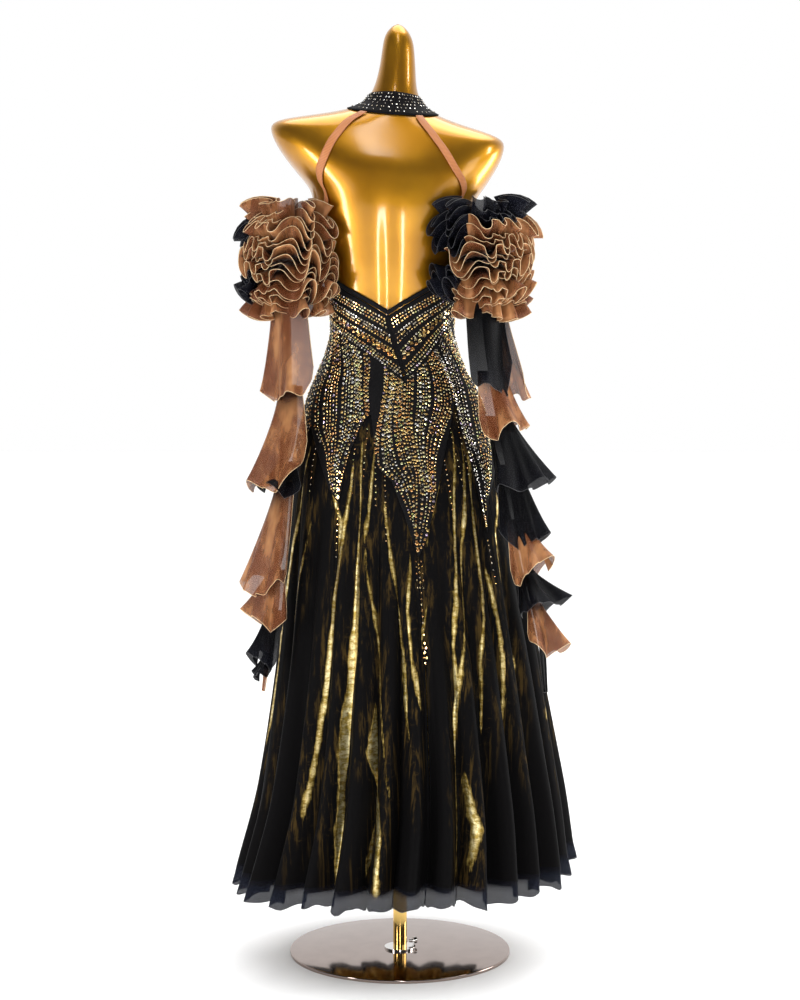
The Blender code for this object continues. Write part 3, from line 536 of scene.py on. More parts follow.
def cloth(name, layers, thick, finish, node, held, numbers=()):
    """Thin cloth from one or more grids of points on its middle, each columns by rows. Columns run to
    the right and rows upwards, seen from the side that shows. A trim, narrower than 10 mm."""
    layers = [layers] if isinstance(layers, np.ndarray) else layers
    points, faces, u, v, shift = [], [], [], [], 0
    for grid in layers:
        normals = grid_normals(grid)
        columns, rows = grid.shape[:2]
        for side in (0.5, -0.5):
            points.append((grid + normals * thick * side).reshape(-1, 3))
            u.append((lengths_along(grid, 0) * MM).ravel())
            v.append((lengths_along(grid, 1) * MM).ravel())
        faces.append(grid_faces(columns, rows) + shift)
        shift += 2 * columns * rows
    obj = make_object(name, np.concatenate(points), np.concatenate(faces), FINISHES[finish])
    add_cut_map(obj, np.concatenate(u), np.concatenate(v))
    for number, per_layer in dict(numbers).items():
        per_layer = [per_layer] if isinstance(per_layer, np.ndarray) else per_layer
        add_number(obj, number, np.concatenate([np.tile(values.ravel(), 2) for values in per_layer]))
    cuts = [cut_of(grid) for grid in layers]
    width, length = sum(cut.width for cut in cuts), max(cut.length for cut in cuts)
    area = sum(cut.area for cut in cuts)
    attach(obj, "root")
    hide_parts(node)
    if held != "sewn on":
        min(max(area, LEAST_AREA * width * length), width * length)


def tube_block(path, radius, sides, normal):
    """The points and faces of a closed round tube along a path."""
    forward = unit(np.gradient(path, axis=0))
    across = unit(np.cross(forward, normal))
    up = np.cross(across, forward)
    turn = 2 * math.pi * np.arange(sides) / sides
    ring = np.cos(turn)[None, :, None] * across[:, None] + np.sin(turn)[None, :, None] * up[:, None]
    points = (path[:, None] + radius * ring).reshape(-1, 3)
    count = len(path)
    i, k = crossed(np.arange(count - 1), np.arange(sides))
    i, k, k1 = i.ravel(), k.ravel(), (k.ravel() + 1) % sides
    walls = np.stack([i * sides + k, i * sides + k1, (i + 1) * sides + k1, (i + 1) * sides + k], axis=1)
    ends = np.stack([np.arange(sides)[::-1], (count - 1) * sides + np.arange(sides)])
    return points, walls[:, ::-1], ends[:, ::-1]


def threads(name, paths, radius, finish, slot, sides=5):
    """Sewn thread along several edges, each a (points, normal) pair, as one piece."""
    points, walls, ends, shift = [], [], [], 0
    for path, normal in paths:
        block, wall, end = tube_block(path, radius, sides, normal)
        points.append(block)
        walls.append(wall + shift)
        ends.append(end + shift)
        shift += len(block)
    faces = [np.concatenate(walls), np.concatenate(ends)]
    obj = make_object(name, np.concatenate(points), faces, FINISHES[finish])
    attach(obj, "root")


# ---------------------------------------------------------------- finishes


class Socket:
    """A shader value that can be written in sums."""

    def __init__(self, finish, socket):
        self.finish, self.socket = finish, socket

    def maths(self, operation, *values):
        return self.finish.node("ShaderNodeMath", {"operation": operation}, values)

    def __add__(self, other):
        return self.maths("ADD", self, other)

    def __mul__(self, other):
        return self.maths("MULTIPLY", self, other)

    def __sub__(self, other):
        return self.maths("SUBTRACT", self, other)

    def __rsub__(self, other):
        return self.maths("SUBTRACT", other, self)

    __radd__, __rmul__ = __add__, __mul__

    def between(self, low, high):
        """0 below low, 1 above high, and a smooth step between. Low may be the higher number."""
        return self.finish.node(
            "ShaderNodeMapRange",
            {"interpolation_type": "SMOOTHSTEP", "clamp": True},
            {"Value": self, "From Min": low, "From Max": high},
        )


class Finish:
    """A procedural material. Constants go on the shader's own sockets."""

    def __init__(self, name, **constants):
        self.material = bpy.data.materials.new(name)
        self.material.use_nodes = True
        self.tree = self.material.node_tree
        self.shader = self.tree.nodes["Principled BSDF"]
        for key, value in constants.items():
            socket = key.replace("_", " ").title().replace("Ior", "IOR")
            self.shader.inputs[socket].default_value = (*value, 1.0) if isinstance(value, tuple) else value

    def node(self, kind, settings, inputs, output=0):
        made = self.tree.nodes.new(kind)
        for key, value in settings.items():
            setattr(made, key, value)
        for key, value in inputs.items() if isinstance(inputs, dict) else enumerate(inputs):
            if isinstance(value, Socket):
                self.tree.links.new(value.socket, made.inputs[key])
            else:
                made.inputs[key].default_value = value
        return Socket(self, made.outputs[output])

    def set(self, name, value):
        self.tree.links.new(value.socket, self.shader.inputs[name])

    def place(self, scale):
        """Object coordinates in metres, stretched."""
        where = self.node("ShaderNodeTexCoord", {}, {}, "Object")
        return self.node("ShaderNodeVectorMath", {"operation": "MULTIPLY"}, (where, scale))

    def cut(self, scale):
        """The flat cloth's own map, as repeats for each metre."""
        where = self.node("ShaderNodeUVMap", {"uv_map": "cut"}, {}, "UV")
        return self.node("ShaderNodeVectorMath", {"operation": "MULTIPLY"}, (where, scale))

    def number(self, name):
        return self.node("ShaderNodeAttribute", {"attribute_name": name}, {}, "Fac")

    def noise(self, scale, detail, roughness=0.5, stretch=(1.0, 1.0, 1.0)):
        where = self.place(stretch)
        inputs = {"Vector": where, "Scale": scale, "Detail": detail, "Roughness": roughness}
        return self.node("ShaderNodeTexNoise", {}, inputs)

    def streaky(self, stretch, detail, roughness):
        """Noise whose grains, for each metre, are given along each axis."""
        return self.noise(1.0, detail, roughness, stretch)

    def blend(self, share, first, second):
        first = first if isinstance(first, Socket) else (*first, 1.0)
        second = second if isinstance(second, Socket) else (*second, 1.0)
        return self.node("ShaderNodeMix", {"data_type": "RGBA"}, {0: share, 6: first, 7: second}, 2)

    def relief(self, height, depth):
        """Bumps of a depth in metres."""
        bump = self.node("ShaderNodeBump", {}, {"Height": height, "Strength": 1.0, "Distance": depth})
        self.set("Normal", bump)

    def weave(self, threads):
        """A plain weave from 0 to 1 on the cloth's own map, with this many threads for each metre."""
        turns = 2 * math.pi * threads
        across = self.node("ShaderNodeSeparateXYZ", {}, [self.cut((turns, turns, 1.0))])
        along = self.node("ShaderNodeSeparateXYZ", {}, [self.cut((turns, turns, 1.0))], 1)
        return across.maths("SINE", across) * along.maths("SINE", along) * 0.5 + 0.5


def gold_lacquer():
    finish = Finish("gold_lacquer", metallic=0.95, coat_weight=1.0, coat_roughness=0.13, coat_ior=1.5)
    cloudy = finish.noise(9.0, 3.0)
    gold = finish.blend(cloudy.between(0.35, 0.7), (0.46, 0.20, 0.006), (0.58, 0.27, 0.010))
    finish.set("Base Color", gold)
    finish.set("Roughness", finish.noise(30.0, 2.0) * 0.06 + 0.34)
    finish.relief(finish.noise(5.0, 1.0), 0.0012)
    return finish.material


def mirror_metal(name, colour, smear, stretch=(1.0, 1.0, 1.0)):
    """Polished metal with the faint smears of handling."""
    finish = Finish(name, metallic=1.0)
    rubbed = finish.noise(24.0, 4.0, 0.65, stretch)
    finish.set("Base Color", finish.blend(rubbed.between(0.3, 0.8), colour, tuple(0.9 * c for c in colour)))
    finish.set("Roughness", rubbed * smear + 0.04)
    return finish.material


def stretch_knit():
    finish = Finish("black_stretch_knit", sheen_weight=0.015, sheen_roughness=0.4, specular_ior_level=0.08)
    pile = finish.noise(420.0, 2.0)
    finish.set("Base Color", finish.blend(pile, (0.0025, 0.0025, 0.003), (0.007, 0.0065, 0.007)))
    finish.set("Roughness", pile * 0.2 + 0.5)
    finish.relief(finish.weave(1300.0), 0.00006)
    return finish.material


def chiffon_over_lame():
    """Black chiffon that shows gold where it lies on the foiled cloth under it, sheer below that. The gold
    carries painted highlights down the middle of each streak.
    """
    finish = Finish("black_chiffon_over_lame", specular_ior_level=0.04)
    torn = finish.streaky((120.0, 120.0, 5.0), 4.0, 0.7)
    crushed = finish.streaky((60.0, 60.0, 125.0), 4.0, 0.7)
    patchy = finish.streaky((22.0, 22.0, 14.0), 3.0, 0.6)
    soft = finish.streaky((110.0, 110.0, 2.6), 4.0, 0.7)
    nearness = finish.number("streak") + (torn - 0.5) * 7.0 + (patchy - 0.5) * 7.0
    gold = nearness.between(1.2, -0.8)
    highlight_core = nearness.between(0.2, -3.5)
    glow = soft.between(0.50, 0.68) * nearness.between(27.0, 4.0)
    glow = glow + crushed.between(0.55, 0.75) * nearness.between(14.0, 3.0) * 0.5
    cloth_colour = finish.blend(glow, (0.0030, 0.0028, 0.003), (0.055, 0.034, 0.010))
    # Painted highlights: the foil is lighter and darker over its crinkles, and turns near white down the
    # middle of each streak
    dull_foil = finish.blend(crushed.between(0.35, 0.65), (0.13, 0.08, 0.014), (0.50, 0.35, 0.09))
    foil_highlight = finish.blend(crushed.between(0.38, 0.62), (0.50, 0.34, 0.07), (1.0, 0.88, 0.50))
    foil_and_highlight_colour = finish.blend(highlight_core, dull_foil, foil_highlight)
    sheer = finish.number("sheer")
    dress_colour = finish.blend(gold, cloth_colour, foil_and_highlight_colour)
    finish.set("Base Color", finish.blend(sheer, dress_colour, (0.010, 0.012, 0.020)))
    finish.set("Metallic", gold * 0.5 + glow * (1.0 - gold) * 0.35 + gold * 0.4)
    finish.set("Roughness", 0.66 - gold * 0.36)
    finish.set("Alpha", 1.0 - sheer * 0.25)
    finish.relief((crushed + patchy) * gold + finish.weave(1600.0) * 0.02, 0.0022)
    return finish.material


def foiled_lame():
    finish = Finish("gold_lame", metallic=0.9)
    crushed = finish.streaky((70.0, 70.0, 95.0), 3.0, 0.6)
    finish.set("Base Color", finish.blend(crushed.between(0.3, 0.7), (0.30, 0.16, 0.025), (0.80, 0.58, 0.20)))
    finish.set("Roughness", crushed * 0.2 + 0.22)
    finish.relief(crushed, 0.002)
    return finish.material


def organza(name, shaded_colour, lit_colour, cover, gleam):
    """Sheer crisp cloth. Cover is how much one layer hides, and gleam is how much gold its threads
    catch along the folds."""
    finish = Finish(
        name,
        metallic=0.3 * gleam,
        sheen_weight=0.12 * gleam,
        sheen_roughness=0.3,
        specular_ior_level=0.1 + 0.3 * gleam,
    )
    shimmer = finish.streaky((26.0, 26.0, 8.0), 3.0, 0.6)
    # Painted shade and light: the face mixes a shaded and a lit tone of the cloth in random patches
    face = finish.blend(shimmer.between(0.40, 0.70), shaded_colour, lit_colour)
    # Painted shade: gathered cloth is darkened towards its root, where the folds shade it. It is also dense
    # there, so it hides more
    gather_and_shade = finish.number("gather_and_shade")
    finish.set("Base Color", finish.blend(gather_and_shade.between(0.02, 0.55), face, tuple(0.2 * c for c in shaded_colour)))
    finish.set("Roughness", 0.55 - shimmer.between(0.45, 0.75) * 0.22 * gleam)
    # The wall has two faces, and each hides its share
    single = 1.0 - math.sqrt(1.0 - cover)
    finish.set("Alpha", gather_and_shade * 0.4 + shimmer * 0.08 + (single - 0.04))
    finish.relief(finish.streaky((60.0, 60.0, 24.0), 3.0, 0.6), 0.0014)
    return finish.material


def satin_elastic():
    finish = Finish("tan_satin_elastic", specular_ior_level=0.4)
    ribs = finish.node("ShaderNodeSeparateXYZ", {}, [finish.cut((1.0, 2400.0, 1.0))], 1)
    ribs = ribs.maths("SINE", ribs) * 0.5 + 0.5
    # Painted shade and light: the colour runs from a shaded tone in the ribs' grooves to a lit tone on their
    # crowns
    finish.set("Base Color", finish.blend(ribs, (0.36, 0.125, 0.042), (0.52, 0.205, 0.078)))
    finish.set("Roughness", ribs * 0.15 + 0.32)
    finish.relief(ribs, 0.00025)
    return finish.material


def thread(name, colour, metallic):
    finish = Finish(name, metallic=metallic, sheen_weight=0.2)
    twist = finish.noise(900.0, 1.0)
    finish.set("Base Color", finish.blend(twist, tuple(0.6 * c for c in colour), colour))
    finish.set("Roughness", twist * 0.2 + 0.3)
    return finish.material


def cut_glass():
    finish = Finish("cut_glass_stones", metallic=0.88, coat_weight=1.0, coat_roughness=0.02, coat_ior=1.55)
    tone = finish.node("ShaderNodeAttribute", {"attribute_name": "tone"}, {}, "Color")
    glint = finish.noise(800.0, 0.0).between(0.45, 0.6)
    finish.set("Base Color", finish.blend(glint * 0.45, tone, (1.0, 0.84, 0.52)))
    finish.set("Roughness", glint * 0.1 + 0.08)
    return finish.material


def pale_floor():
    finish = Finish("pale_floor", specular_ior_level=0.15)
    grain = finish.noise(3.0, 2.0)
    finish.set("Base Color", finish.blend(grain, (0.86, 0.86, 0.86), (0.90, 0.90, 0.90)))
    finish.set("Roughness", grain * 0.1 + 0.7)
    return finish.material


FINISHES = {
    "gold_gloss": gold_lacquer(),
    "chrome": mirror_metal("chrome", (0.78, 0.76, 0.74), 0.08),
    "plate": mirror_metal("smoky_mirror_plate", (0.37, 0.295, 0.262), 0.10),
    "brass": mirror_metal("polished_brass", (0.83, 0.55, 0.17), 0.10, (1.0, 1.0, 0.1)),
    "black_stretch": stretch_knit(),
    "black_chiffon": chiffon_over_lame(),
    "gold_lame": foiled_lame(),
    "tan_organza": organza("tan_organza", (0.19, 0.055, 0.016), (0.60, 0.28, 0.11), 0.86, 1.0),
    "black_organza": organza("black_organza", (0.003, 0.003, 0.006), (0.010, 0.011, 0.018), 0.88, 0.05),
    "tan_elastic": satin_elastic(),
    "gold_thread": thread("gold_overlock_thread", (0.98, 0.72, 0.40), 0.3),
    "black_thread": thread("black_overlock_thread", (0.012, 0.012, 0.015), 0.0),
    "stones": cut_glass(),
}


# ---------------------------------------------------------------- dress form and stand


def start_piece(name):
    """Names a primitive that was just added, and goes into edit mode on it."""
    obj = bpy.context.object
    obj.name = obj.data.name = name
    bpy.ops.object.mode_set(mode="EDIT")
    return obj


def select_faces(obj, wanted):
    """Selects the faces of a mesh in edit mode whose normal and middle pass a test."""
    work = bmesh.from_edit_mesh(obj.data)
    for face in work.faces:
        face.select_set(wanted(face.normal, face.calc_center_median()))
    work.select_flush_mode()
    bmesh.update_edit_mesh(obj.data)


def end_piece(obj, finish, slot, *nodes, sharp=40):
    """Leaves edit mode with smooth sides, and puts the piece's place into its mesh."""
    bpy.ops.mesh.select_all(action="SELECT")
    bpy.ops.mesh.normals_make_consistent(inside=False)
    bpy.ops.object.mode_set(mode="OBJECT")
    bpy.ops.object.transform_apply(location=True, rotation=True, scale=True)
    bpy.ops.object.shade_smooth_by_angle(angle=math.radians(sharp))
    obj.data.materials.clear()
    obj.data.materials.append(FINISHES[finish])
    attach(obj, "root")
    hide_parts(*nodes)
    bpy.ops.object.select_all(action="DESELECT")


def round_bar(name, radius, low, high, sides=96):
    """A cylinder that stands between two heights, open for shaping in edit mode."""
    bpy.ops.object.select_all(action="DESELECT")
    bpy.ops.mesh.primitive_cylinder_add(
        vertices=sides, radius=radius * MM, depth=(high - low) * MM, location=(0, 0, (low + high) / 2 * MM)
    )
    return start_piece(name)


def upward(normal, middle):
    return normal.z > 0.9


def downward(normal, middle):
    return normal.z < -0.9


def soften_rims(obj, wanted, width, segments):
    select_faces(obj, wanted)
    bpy.ops.mesh.region_to_loop()
    bpy.ops.mesh.bevel(offset=width * MM, segments=segments, affect="EDGES")


def inset(width):
    bpy.ops.mesh.inset(thickness=width * MM)


def draw_out(height):
    bpy.ops.mesh.extrude_region_move(TRANSFORM_OT_translate={"value": (0, 0, height * MM)})


def raise_selected(height):
    bpy.ops.transform.translate(value=(0, 0, height * MM))


def build_stand():
    plate = round_bar("stand_plate", PLATE_RADIUS, 0, PLATE_THICK, 192)
    soften_rims(plate, upward, 1.8, 4)
    soften_rims(plate, downward, 0.8, 2)
    end_piece(plate, "plate", "chrome", "form_base")

    pole = round_bar("stand_pole", POLE_RADIUS, FLANGE_LOW, POLE_TOP)
    soften_rims(pole, lambda normal, middle: abs(normal.z) > 0.9, 0.6, 2)
    end_piece(pole, "brass", "brass", "form_pole")

    # The flange starts as a washer and its neck is drawn up from an inner ring of its top
    flange = round_bar("stand_flange", FLANGE_RADIUS, FLANGE_LOW, FLANGE_HIGH, 72)
    select_faces(flange, upward)
    inset(10.4)
    inset(0.6)
    draw_out(12.5)
    inset(0.8)
    raise_selected(-0.01)
    inset(3.4)
    draw_out(-15.9)
    bpy.ops.mesh.delete(type="FACE")
    select_faces(flange, downward)
    inset(15.2)
    bpy.ops.mesh.delete(type="FACE")
    bpy.ops.mesh.select_all(action="SELECT")
    bpy.ops.mesh.remove_doubles(threshold=0.12 * MM)
    end_piece(flange, "chrome", "chrome", "form_flange", sharp=35)

    # The thumb screw: a shank, and a wider head drawn out from its end
    bpy.ops.mesh.primitive_cylinder_add(vertices=24, radius=2.5 * MM, depth=9 * MM)
    screw = start_piece("stand_thumb_screw")
    select_faces(screw, upward)
    draw_out(0.01)
    bpy.ops.transform.resize(value=(2.3, 2.3, 1))
    draw_out(6)
    inset(1.2)
    raise_selected(-0.6)
    bpy.ops.mesh.select_all(action="SELECT")
    raise_selected(4.5)
    bpy.ops.object.mode_set(mode="OBJECT")
    turn = math.radians(SCREW_TURN)
    screw.rotation_euler = (0, math.radians(90), turn)
    screw.location = Vector((SCREW_OUT * math.cos(turn), SCREW_OUT * math.sin(turn), SCREW_HEIGHT)) * MM
    bpy.ops.object.mode_set(mode="EDIT")
    end_piece(screw, "chrome", "chrome", "form_screw")


def build_torso():
    """The form's skin, drawn up ring by ring from a flat disc and then set to the form's sections."""
    heights = [FORM_SECTIONS[0].height]
    for low, high in zip(FORM_SECTIONS, FORM_SECTIONS[1:]):
        parts = 2 if high.height - low.height > 12 else 1
        heights += [mix(low.height, high.height, (i + 1) / parts) for i in range(parts)]
    heights.append(FORM_TOP)
    bpy.ops.object.select_all(action="DESELECT")
    bpy.ops.mesh.primitive_circle_add(
        vertices=2 * FORM_COLUMNS, radius=100 * MM, fill_type="NGON", location=(0, 0, heights[0] * MM)
    )
    torso = start_piece("form_skin")
    for low, high in zip(heights, heights[1:]):
        draw_out(high - low)
    bpy.ops.mesh.merge(type="CENTER")
    select_faces(torso, lambda normal, middle: middle.z < (FORM_BOTTOM + 0.01) * MM)
    bpy.ops.mesh.region_to_loop()
    bpy.ops.transform.edge_crease(value=1.0)
    bpy.ops.object.mode_set(mode="OBJECT")
    bpy.ops.object.transform_apply(location=True, rotation=True, scale=True)

    corners = np.empty(len(torso.data.vertices) * 3, np.float32)
    torso.data.vertices.foreach_get("co", corners)
    x, y, z = corners.reshape(-1, 3).T / MM
    angle = np.degrees(np.arctan2(x, -y))
    height = np.clip(z, FORM_BOTTOM, FORM_SECTIONS[-1].height)
    groove = np.exp(-(((angle - SPINE_ANGLE) / SPINE_WIDE) ** 2)) * smooth_step(height, *SPINE_STARTS)
    groove *= SPINE_DEEP * (1 - smooth_step(height, *SPINE_ENDS))
    skin = placed(angle, height, form_radius(angle, height) - groove, FORM["shift"](height))
    skin[z > FORM_TOP - 1] = (FORM["shift"](FORM_TOP), 0, FORM_TOP)
    torso.data.vertices.foreach_set("co", (skin * MM).astype(np.float32).ravel())

    smoother = torso.modifiers.new("smooth skin", "SUBSURF")
    smoother.levels = smoother.render_levels = 1
    bpy.ops.object.modifier_apply(modifier=smoother.name)
    bpy.ops.object.mode_set(mode="EDIT")
    end_piece(torso, "gold_gloss", "gold_gloss", "form_torso", sharp=50)


# ---------------------------------------------------------------- collar, straps and bodice


def angle_of_width(width, height):
    """The angle that a width along the middle of the back takes up at a height."""
    here = worn(np.zeros_like(height), height)
    return np.degrees(width / np.hypot(here[..., 0] - FORM["shift"](height), here[..., 1]))


def build_collar():
    angles, share = crossed(np.linspace(-0.5, 361.5, 190), np.linspace(0, 1, 13))
    side = from_back(angles)
    heights = mix(collar_low_at(side), collar_high_at(side), share)
    overlap = 1.3 * smooth_step(angles, 355, 358.5)  # one end hooks over the other
    grid = lifted(form_point, angles, heights, 1.9 + 0.6 * np.sin(math.pi * share) + overlap)
    cloth("collar_band", grid, 1.2, "black_stretch", "collar", "stretched")


def build_strap(side, sign):
    """A satin band from under the collar over the shoulder to the binding, a little cupped."""
    across, down = crossed(np.linspace(-1, 1, 9), np.linspace(0, 1, 90))
    middle = mix(STRAP[-1].height - 2.0, STRAP[0].height + 3.0, down)
    for _ in range(3):
        lean = (strap_angle_at(middle + 1) - strap_angle_at(middle - 1)) / 2
        here = form_point(sign * strap_angle_at(middle), middle)
        radius = np.hypot(here[..., 0] - FORM["shift"](middle), here[..., 1])
        slant = np.cos(np.arctan(np.radians(lean) * radius))
        angles = strap_angle_at(middle) - across * np.degrees(5.5 / (radius * slant))
        middle = mix(collar_low_at(angles) - 1.0, bodice_top_at(angles) + 0.8, down)
    grid = lifted(worn, sign * angles, middle, 2.8 + 0.5 * (1 - across**2))
    cloth("strap_band_" + side, grid, 1.0, "tan_elastic", "strap_" + side, "stretched")


def bodice_rows(angles):
    """The heights of the bodice's rows in columns at these angles, from its lower edge up."""
    side = from_back(angles)
    top = np.minimum(bodice_top_at(side) - BINDING_WIDE, collar_low_at(side) - 0.5)[:, None]
    low = basque_edge(angles)[:, None]
    hip = mix(low, HIP_FULL, np.linspace(0, 1, 26)[None, :])
    turn = np.broadcast_to(np.array([1037.0, 1043.0, 1049.0]), (len(angles), 3))
    body = mix(HIP_TOP, top, np.linspace(0, 1, 38)[None, :])
    return np.concatenate([hip, turn, body], axis=1)


def bodice_columns(low, high):
    points = [angle % 360 for angle, _ in BASQUE_EDGE]
    points += [angle - 360 for angle in points]
    even = np.linspace(low, high, round((high - low) / 1.8) + 1)
    return np.union1d(even, [a for a in points if low < a < high])


def build_bodice():
    seam = 0.05
    left_trims, right_trims = ["back_binding_left"], ["back_binding_right", "back_zip"]
    for name, node, low, high, trims in (
        ("bodice_front_cloth", "bodice_front", SIDE_SEAM + seam, 360 - SIDE_SEAM - seam, []),
        ("bodice_back_cloth_right", "bodice_back_right", 0.0, SIDE_SEAM - seam, right_trims),
        ("bodice_back_cloth_left", "bodice_back_left", seam - SIDE_SEAM, 0.0, left_trims),
    ):
        columns = bodice_columns(low, high)
        heights = bodice_rows(columns)
        angles = np.broadcast_to(columns[:, None], heights.shape).copy()
        clear = angle_of_width(np.where(heights >= HIP_TOP, 2.5, 0.1), heights)
        if low == 0.0:
            angles = np.maximum(angles, 0) * (high - clear) / high + clear
        elif high == 0.0:
            angles = angles * (low + clear) / low - clear
        grid = bodice_point(angles, heights)
        cloth(name, grid, 1.0, "black_stretch", node, "stretched")


def build_binding():
    """A folded edge from the V of the back, under the arm and up the halter front."""
    for side, sign in (("right", 1), ("left", -1)):
        angles, share = crossed(np.linspace(0.1, 150.0, 160), np.linspace(0, 1, 9))
        heights = bodice_top_at(angles) - (1 - share) * (BINDING_WIDE - 0.5)
        full = 0.7 + 0.6 * np.sin(math.pi * share) ** 0.6
        grid = bodice_point(sign * angles, heights, full)
        cloth("back_binding_" + side, grid, 1.2, "black_stretch", "neck_binding_" + side, "sewn on")


def build_zip():
    """The two lips of a hidden zip that meet in the middle of the back."""
    lip = [(2.4, 0.0), (1.5, 0.25), (0.5, 0.5), (0.12, 0.3)]
    lips = np.array([(-aside, rise) for aside, rise in lip] + [(0.0, -0.35)] + lip[::-1])
    along = np.linspace(HIP_TOP + 0.5, V_BOTTOM - BINDING_WIDE - 0.5, 50)
    across, heights = crossed(np.arange(len(lips)), along)
    angles = angle_of_width(1.0, heights) * lips[across, 0]
    grid = bodice_point(angles, heights, lips[across, 1])
    cloth("back_zip", grid, 0.8, "black_stretch", "zip_chain", "sewn on")


# ---------------------------------------------------------------- skirts

FLUTE_ENDS = np.cumsum([0.0] + [flute.degrees for flute in FLUTES])
FLUTE_DEPTHS = np.array([flute.depth for flute in FLUTES], float)


def swell_at(degrees):
    """How far the folds stand out at the hem at any angle of the dress."""
    degrees = degrees % 360.0
    i = np.clip(np.searchsorted(FLUTE_ENDS, degrees, side="right") - 1, 0, len(FLUTES) - 1)
    share = (degrees - FLUTE_ENDS[i]) / (FLUTE_ENDS[i + 1] - FLUTE_ENDS[i])
    near = np.where(share < 0.5, FLUTE_DEPTHS[i - 1], FLUTE_DEPTHS[(i + 1) % len(FLUTES)])
    trough = -0.25 * (FLUTE_DEPTHS[i] + near)
    return mix(trough, 0.5 * FLUTE_DEPTHS[i], 0.5 - 0.5 * np.cos(2 * math.pi * share))


def small_folds(degrees, height):
    """The soft narrow folds between the flutes, which drift a little on their way down."""
    round_body = np.radians(degrees)
    drift = 1.3 * np.sin(3 * round_body + 0.6) + 0.8 * np.sin(7 * round_body + 2.1)
    drift = drift + 0.55 * np.sin(height / 120 + 4 * round_body)
    strong = 0.62 + 0.38 * np.sin(5 * round_body + 1.3 + height / 400)
    broad = np.sin(61 * round_body + drift)
    fine = np.sin(137 * round_body + 2.2 * drift + 0.5 * np.sin(height / 70))
    return strong * (3.4 * broad + 1.5 * fine * (0.5 + 0.5 * np.sin(11 * round_body)))


def hanging_skirt(degrees, height, hem_up=0.0, hem_in=0.0):
    """A point of a skirt's middle surface, folds and all."""
    start = basque_edge(degrees) - FOLD_START
    hem = hem_at(degrees % 360) + hem_up
    down = np.clip((start - height) / (start - hem), 0.0, 1.0)
    base = worn(degrees, height)
    out = unit(vectors(base[..., 0] - SKIRT["shift"](height), base[..., 1], 0 * height))
    fold = swell_at(degrees) * down**FLUTE_GROWTH - hem_in * down + small_folds(degrees, height) * down**0.7
    return base + out * fold[..., None]


SIDE_STREAKS = streaks_of_sides()
NEAR_HEM = np.array([0.0, 3.5, 7.5, 12.0, 17.0, 23.0, 30.0, 38.0])  # heights of the close rows above the hem
HEM_RADIUS = 268.0


def streak_gap(degrees, height, radius):
    """How far a spot lies from the edge of the nearest gold streak, in millimetres, less than 0
    inside a streak."""
    nearest = np.full(degrees.shape, 30.0)
    for streak in STREAKS + SIDE_STREAKS:
        points = np.array(sorted(streak, key=lambda point: point[1]), float)
        at = np.clip(height, points[0, 1], points[-1, 1])
        middle = np.interp(at, points[:, 1], points[:, 0])
        width = np.interp(at, points[:, 1], points[:, 2])
        gap = np.radians(from_back(degrees - middle)) * radius - width / 2 + np.abs(height - at) * 0.16
        nearest = np.minimum(nearest, gap)
    return nearest


def gore_span(gore):
    ends = [i for i, flute in enumerate(FLUTES) if flute.gore == gore]
    return FLUTE_ENDS[ends[0]], FLUTE_ENDS[ends[-1] + 1], len(ends)


def build_gore(gore, layer):
    """One gore of a skirt. Gives its hem, for the thread that rolls it."""
    low, high, flutes = gore_span(gore)
    over = layer == "overskirt"
    columns = np.linspace(low + 0.01, high - 0.01, flutes * (20 if over else 13) + 1)
    hem_up, hem_in = (0.0, 0.0) if over else (LAME_HEM_UP, LAME_HEM_IN)
    hem = (hem_at(columns % 360) + hem_up)[:, None]
    rest = np.linspace(0, 1, 56 if over else 30)[1:]
    top = (basque_edge(columns) + TUCK)[:, None]
    heights = np.concatenate([hem + NEAR_HEM, mix(hem + NEAR_HEM[-1], top, rest[None, :])], axis=1)
    angles = np.broadcast_to(columns[:, None], heights.shape)
    above = heights - hem
    grid = hanging_skirt(angles, heights, hem_up, hem_in)
    grid = grid + grid_normals(grid) * (CHIFFON_OFF if over else LAME_OFF)
    numbers = {}
    if over:
        # The rolled hem stretches the edge, so it waves more than the cloth above it
        shift = SKIRT["shift"](heights)
        radius = np.hypot(grid[..., 0] - shift, grid[..., 1])
        curl = 1 - smooth_step(above, 0, 42)
        run = np.radians(angles) * HEM_RADIUS
        wave = run / 6.4 + 1.6 * np.sin(run / 47) + 1.1 * np.sin(run / 23 + 2)
        out = unit(vectors(grid[..., 0] - shift, grid[..., 1], 0 * heights))
        grid = grid + out * (curl * 4.2 * np.sin(wave))[..., None]
        ripple = 3.6 * np.sin(wave + 1.9) + 1.6 * np.sin(2.1 * wave + run / 31) + 2.2 * np.sin(run / 29)
        grid[..., 2] += curl * ripple
        numbers["streak"] = streak_gap(angles, heights, radius)
        numbers["sheer"] = 1 - smooth_step(above, LAME_HEM_UP - 8, LAME_HEM_UP + 12)
    name, finish = f"{layer}_cloth_{gore}", "black_chiffon" if over else "gold_lame"
    cloth(name, grid, 0.35, finish, f"{layer}_{gore}", "hung", numbers)
    return grid[:, 0] - np.array([0, 0, 0.3]), grid_normals(grid)[:, 0]


def build_skirts():
    edges = []
    for gore in dict.fromkeys(flute.gore for flute in FLUTES):
        build_gore(gore, "underskirt")
        edges.append(build_gore(gore, "overskirt"))
    threads("overskirt_rolled_hem", edges, 0.6, "black_thread", "black_chiffon", sides=6)


# ---------------------------------------------------------------- sleeves


def bodice_clearance(points):
    """How far points lie outside the bodice's outer face, measured level from the body's middle."""
    height = points[..., 2]
    shift = FORM["shift"](height)
    dx, dy = points[..., 0] - shift, points[..., 1]
    surface = dress_point(np.degrees(np.arctan2(dx, -dy)), height + lean_at(height) * dx)
    reach = np.hypot(surface[..., 0] - shift, surface[..., 1])
    return np.hypot(dx, dy) - reach - BODICE_OUTSIDE


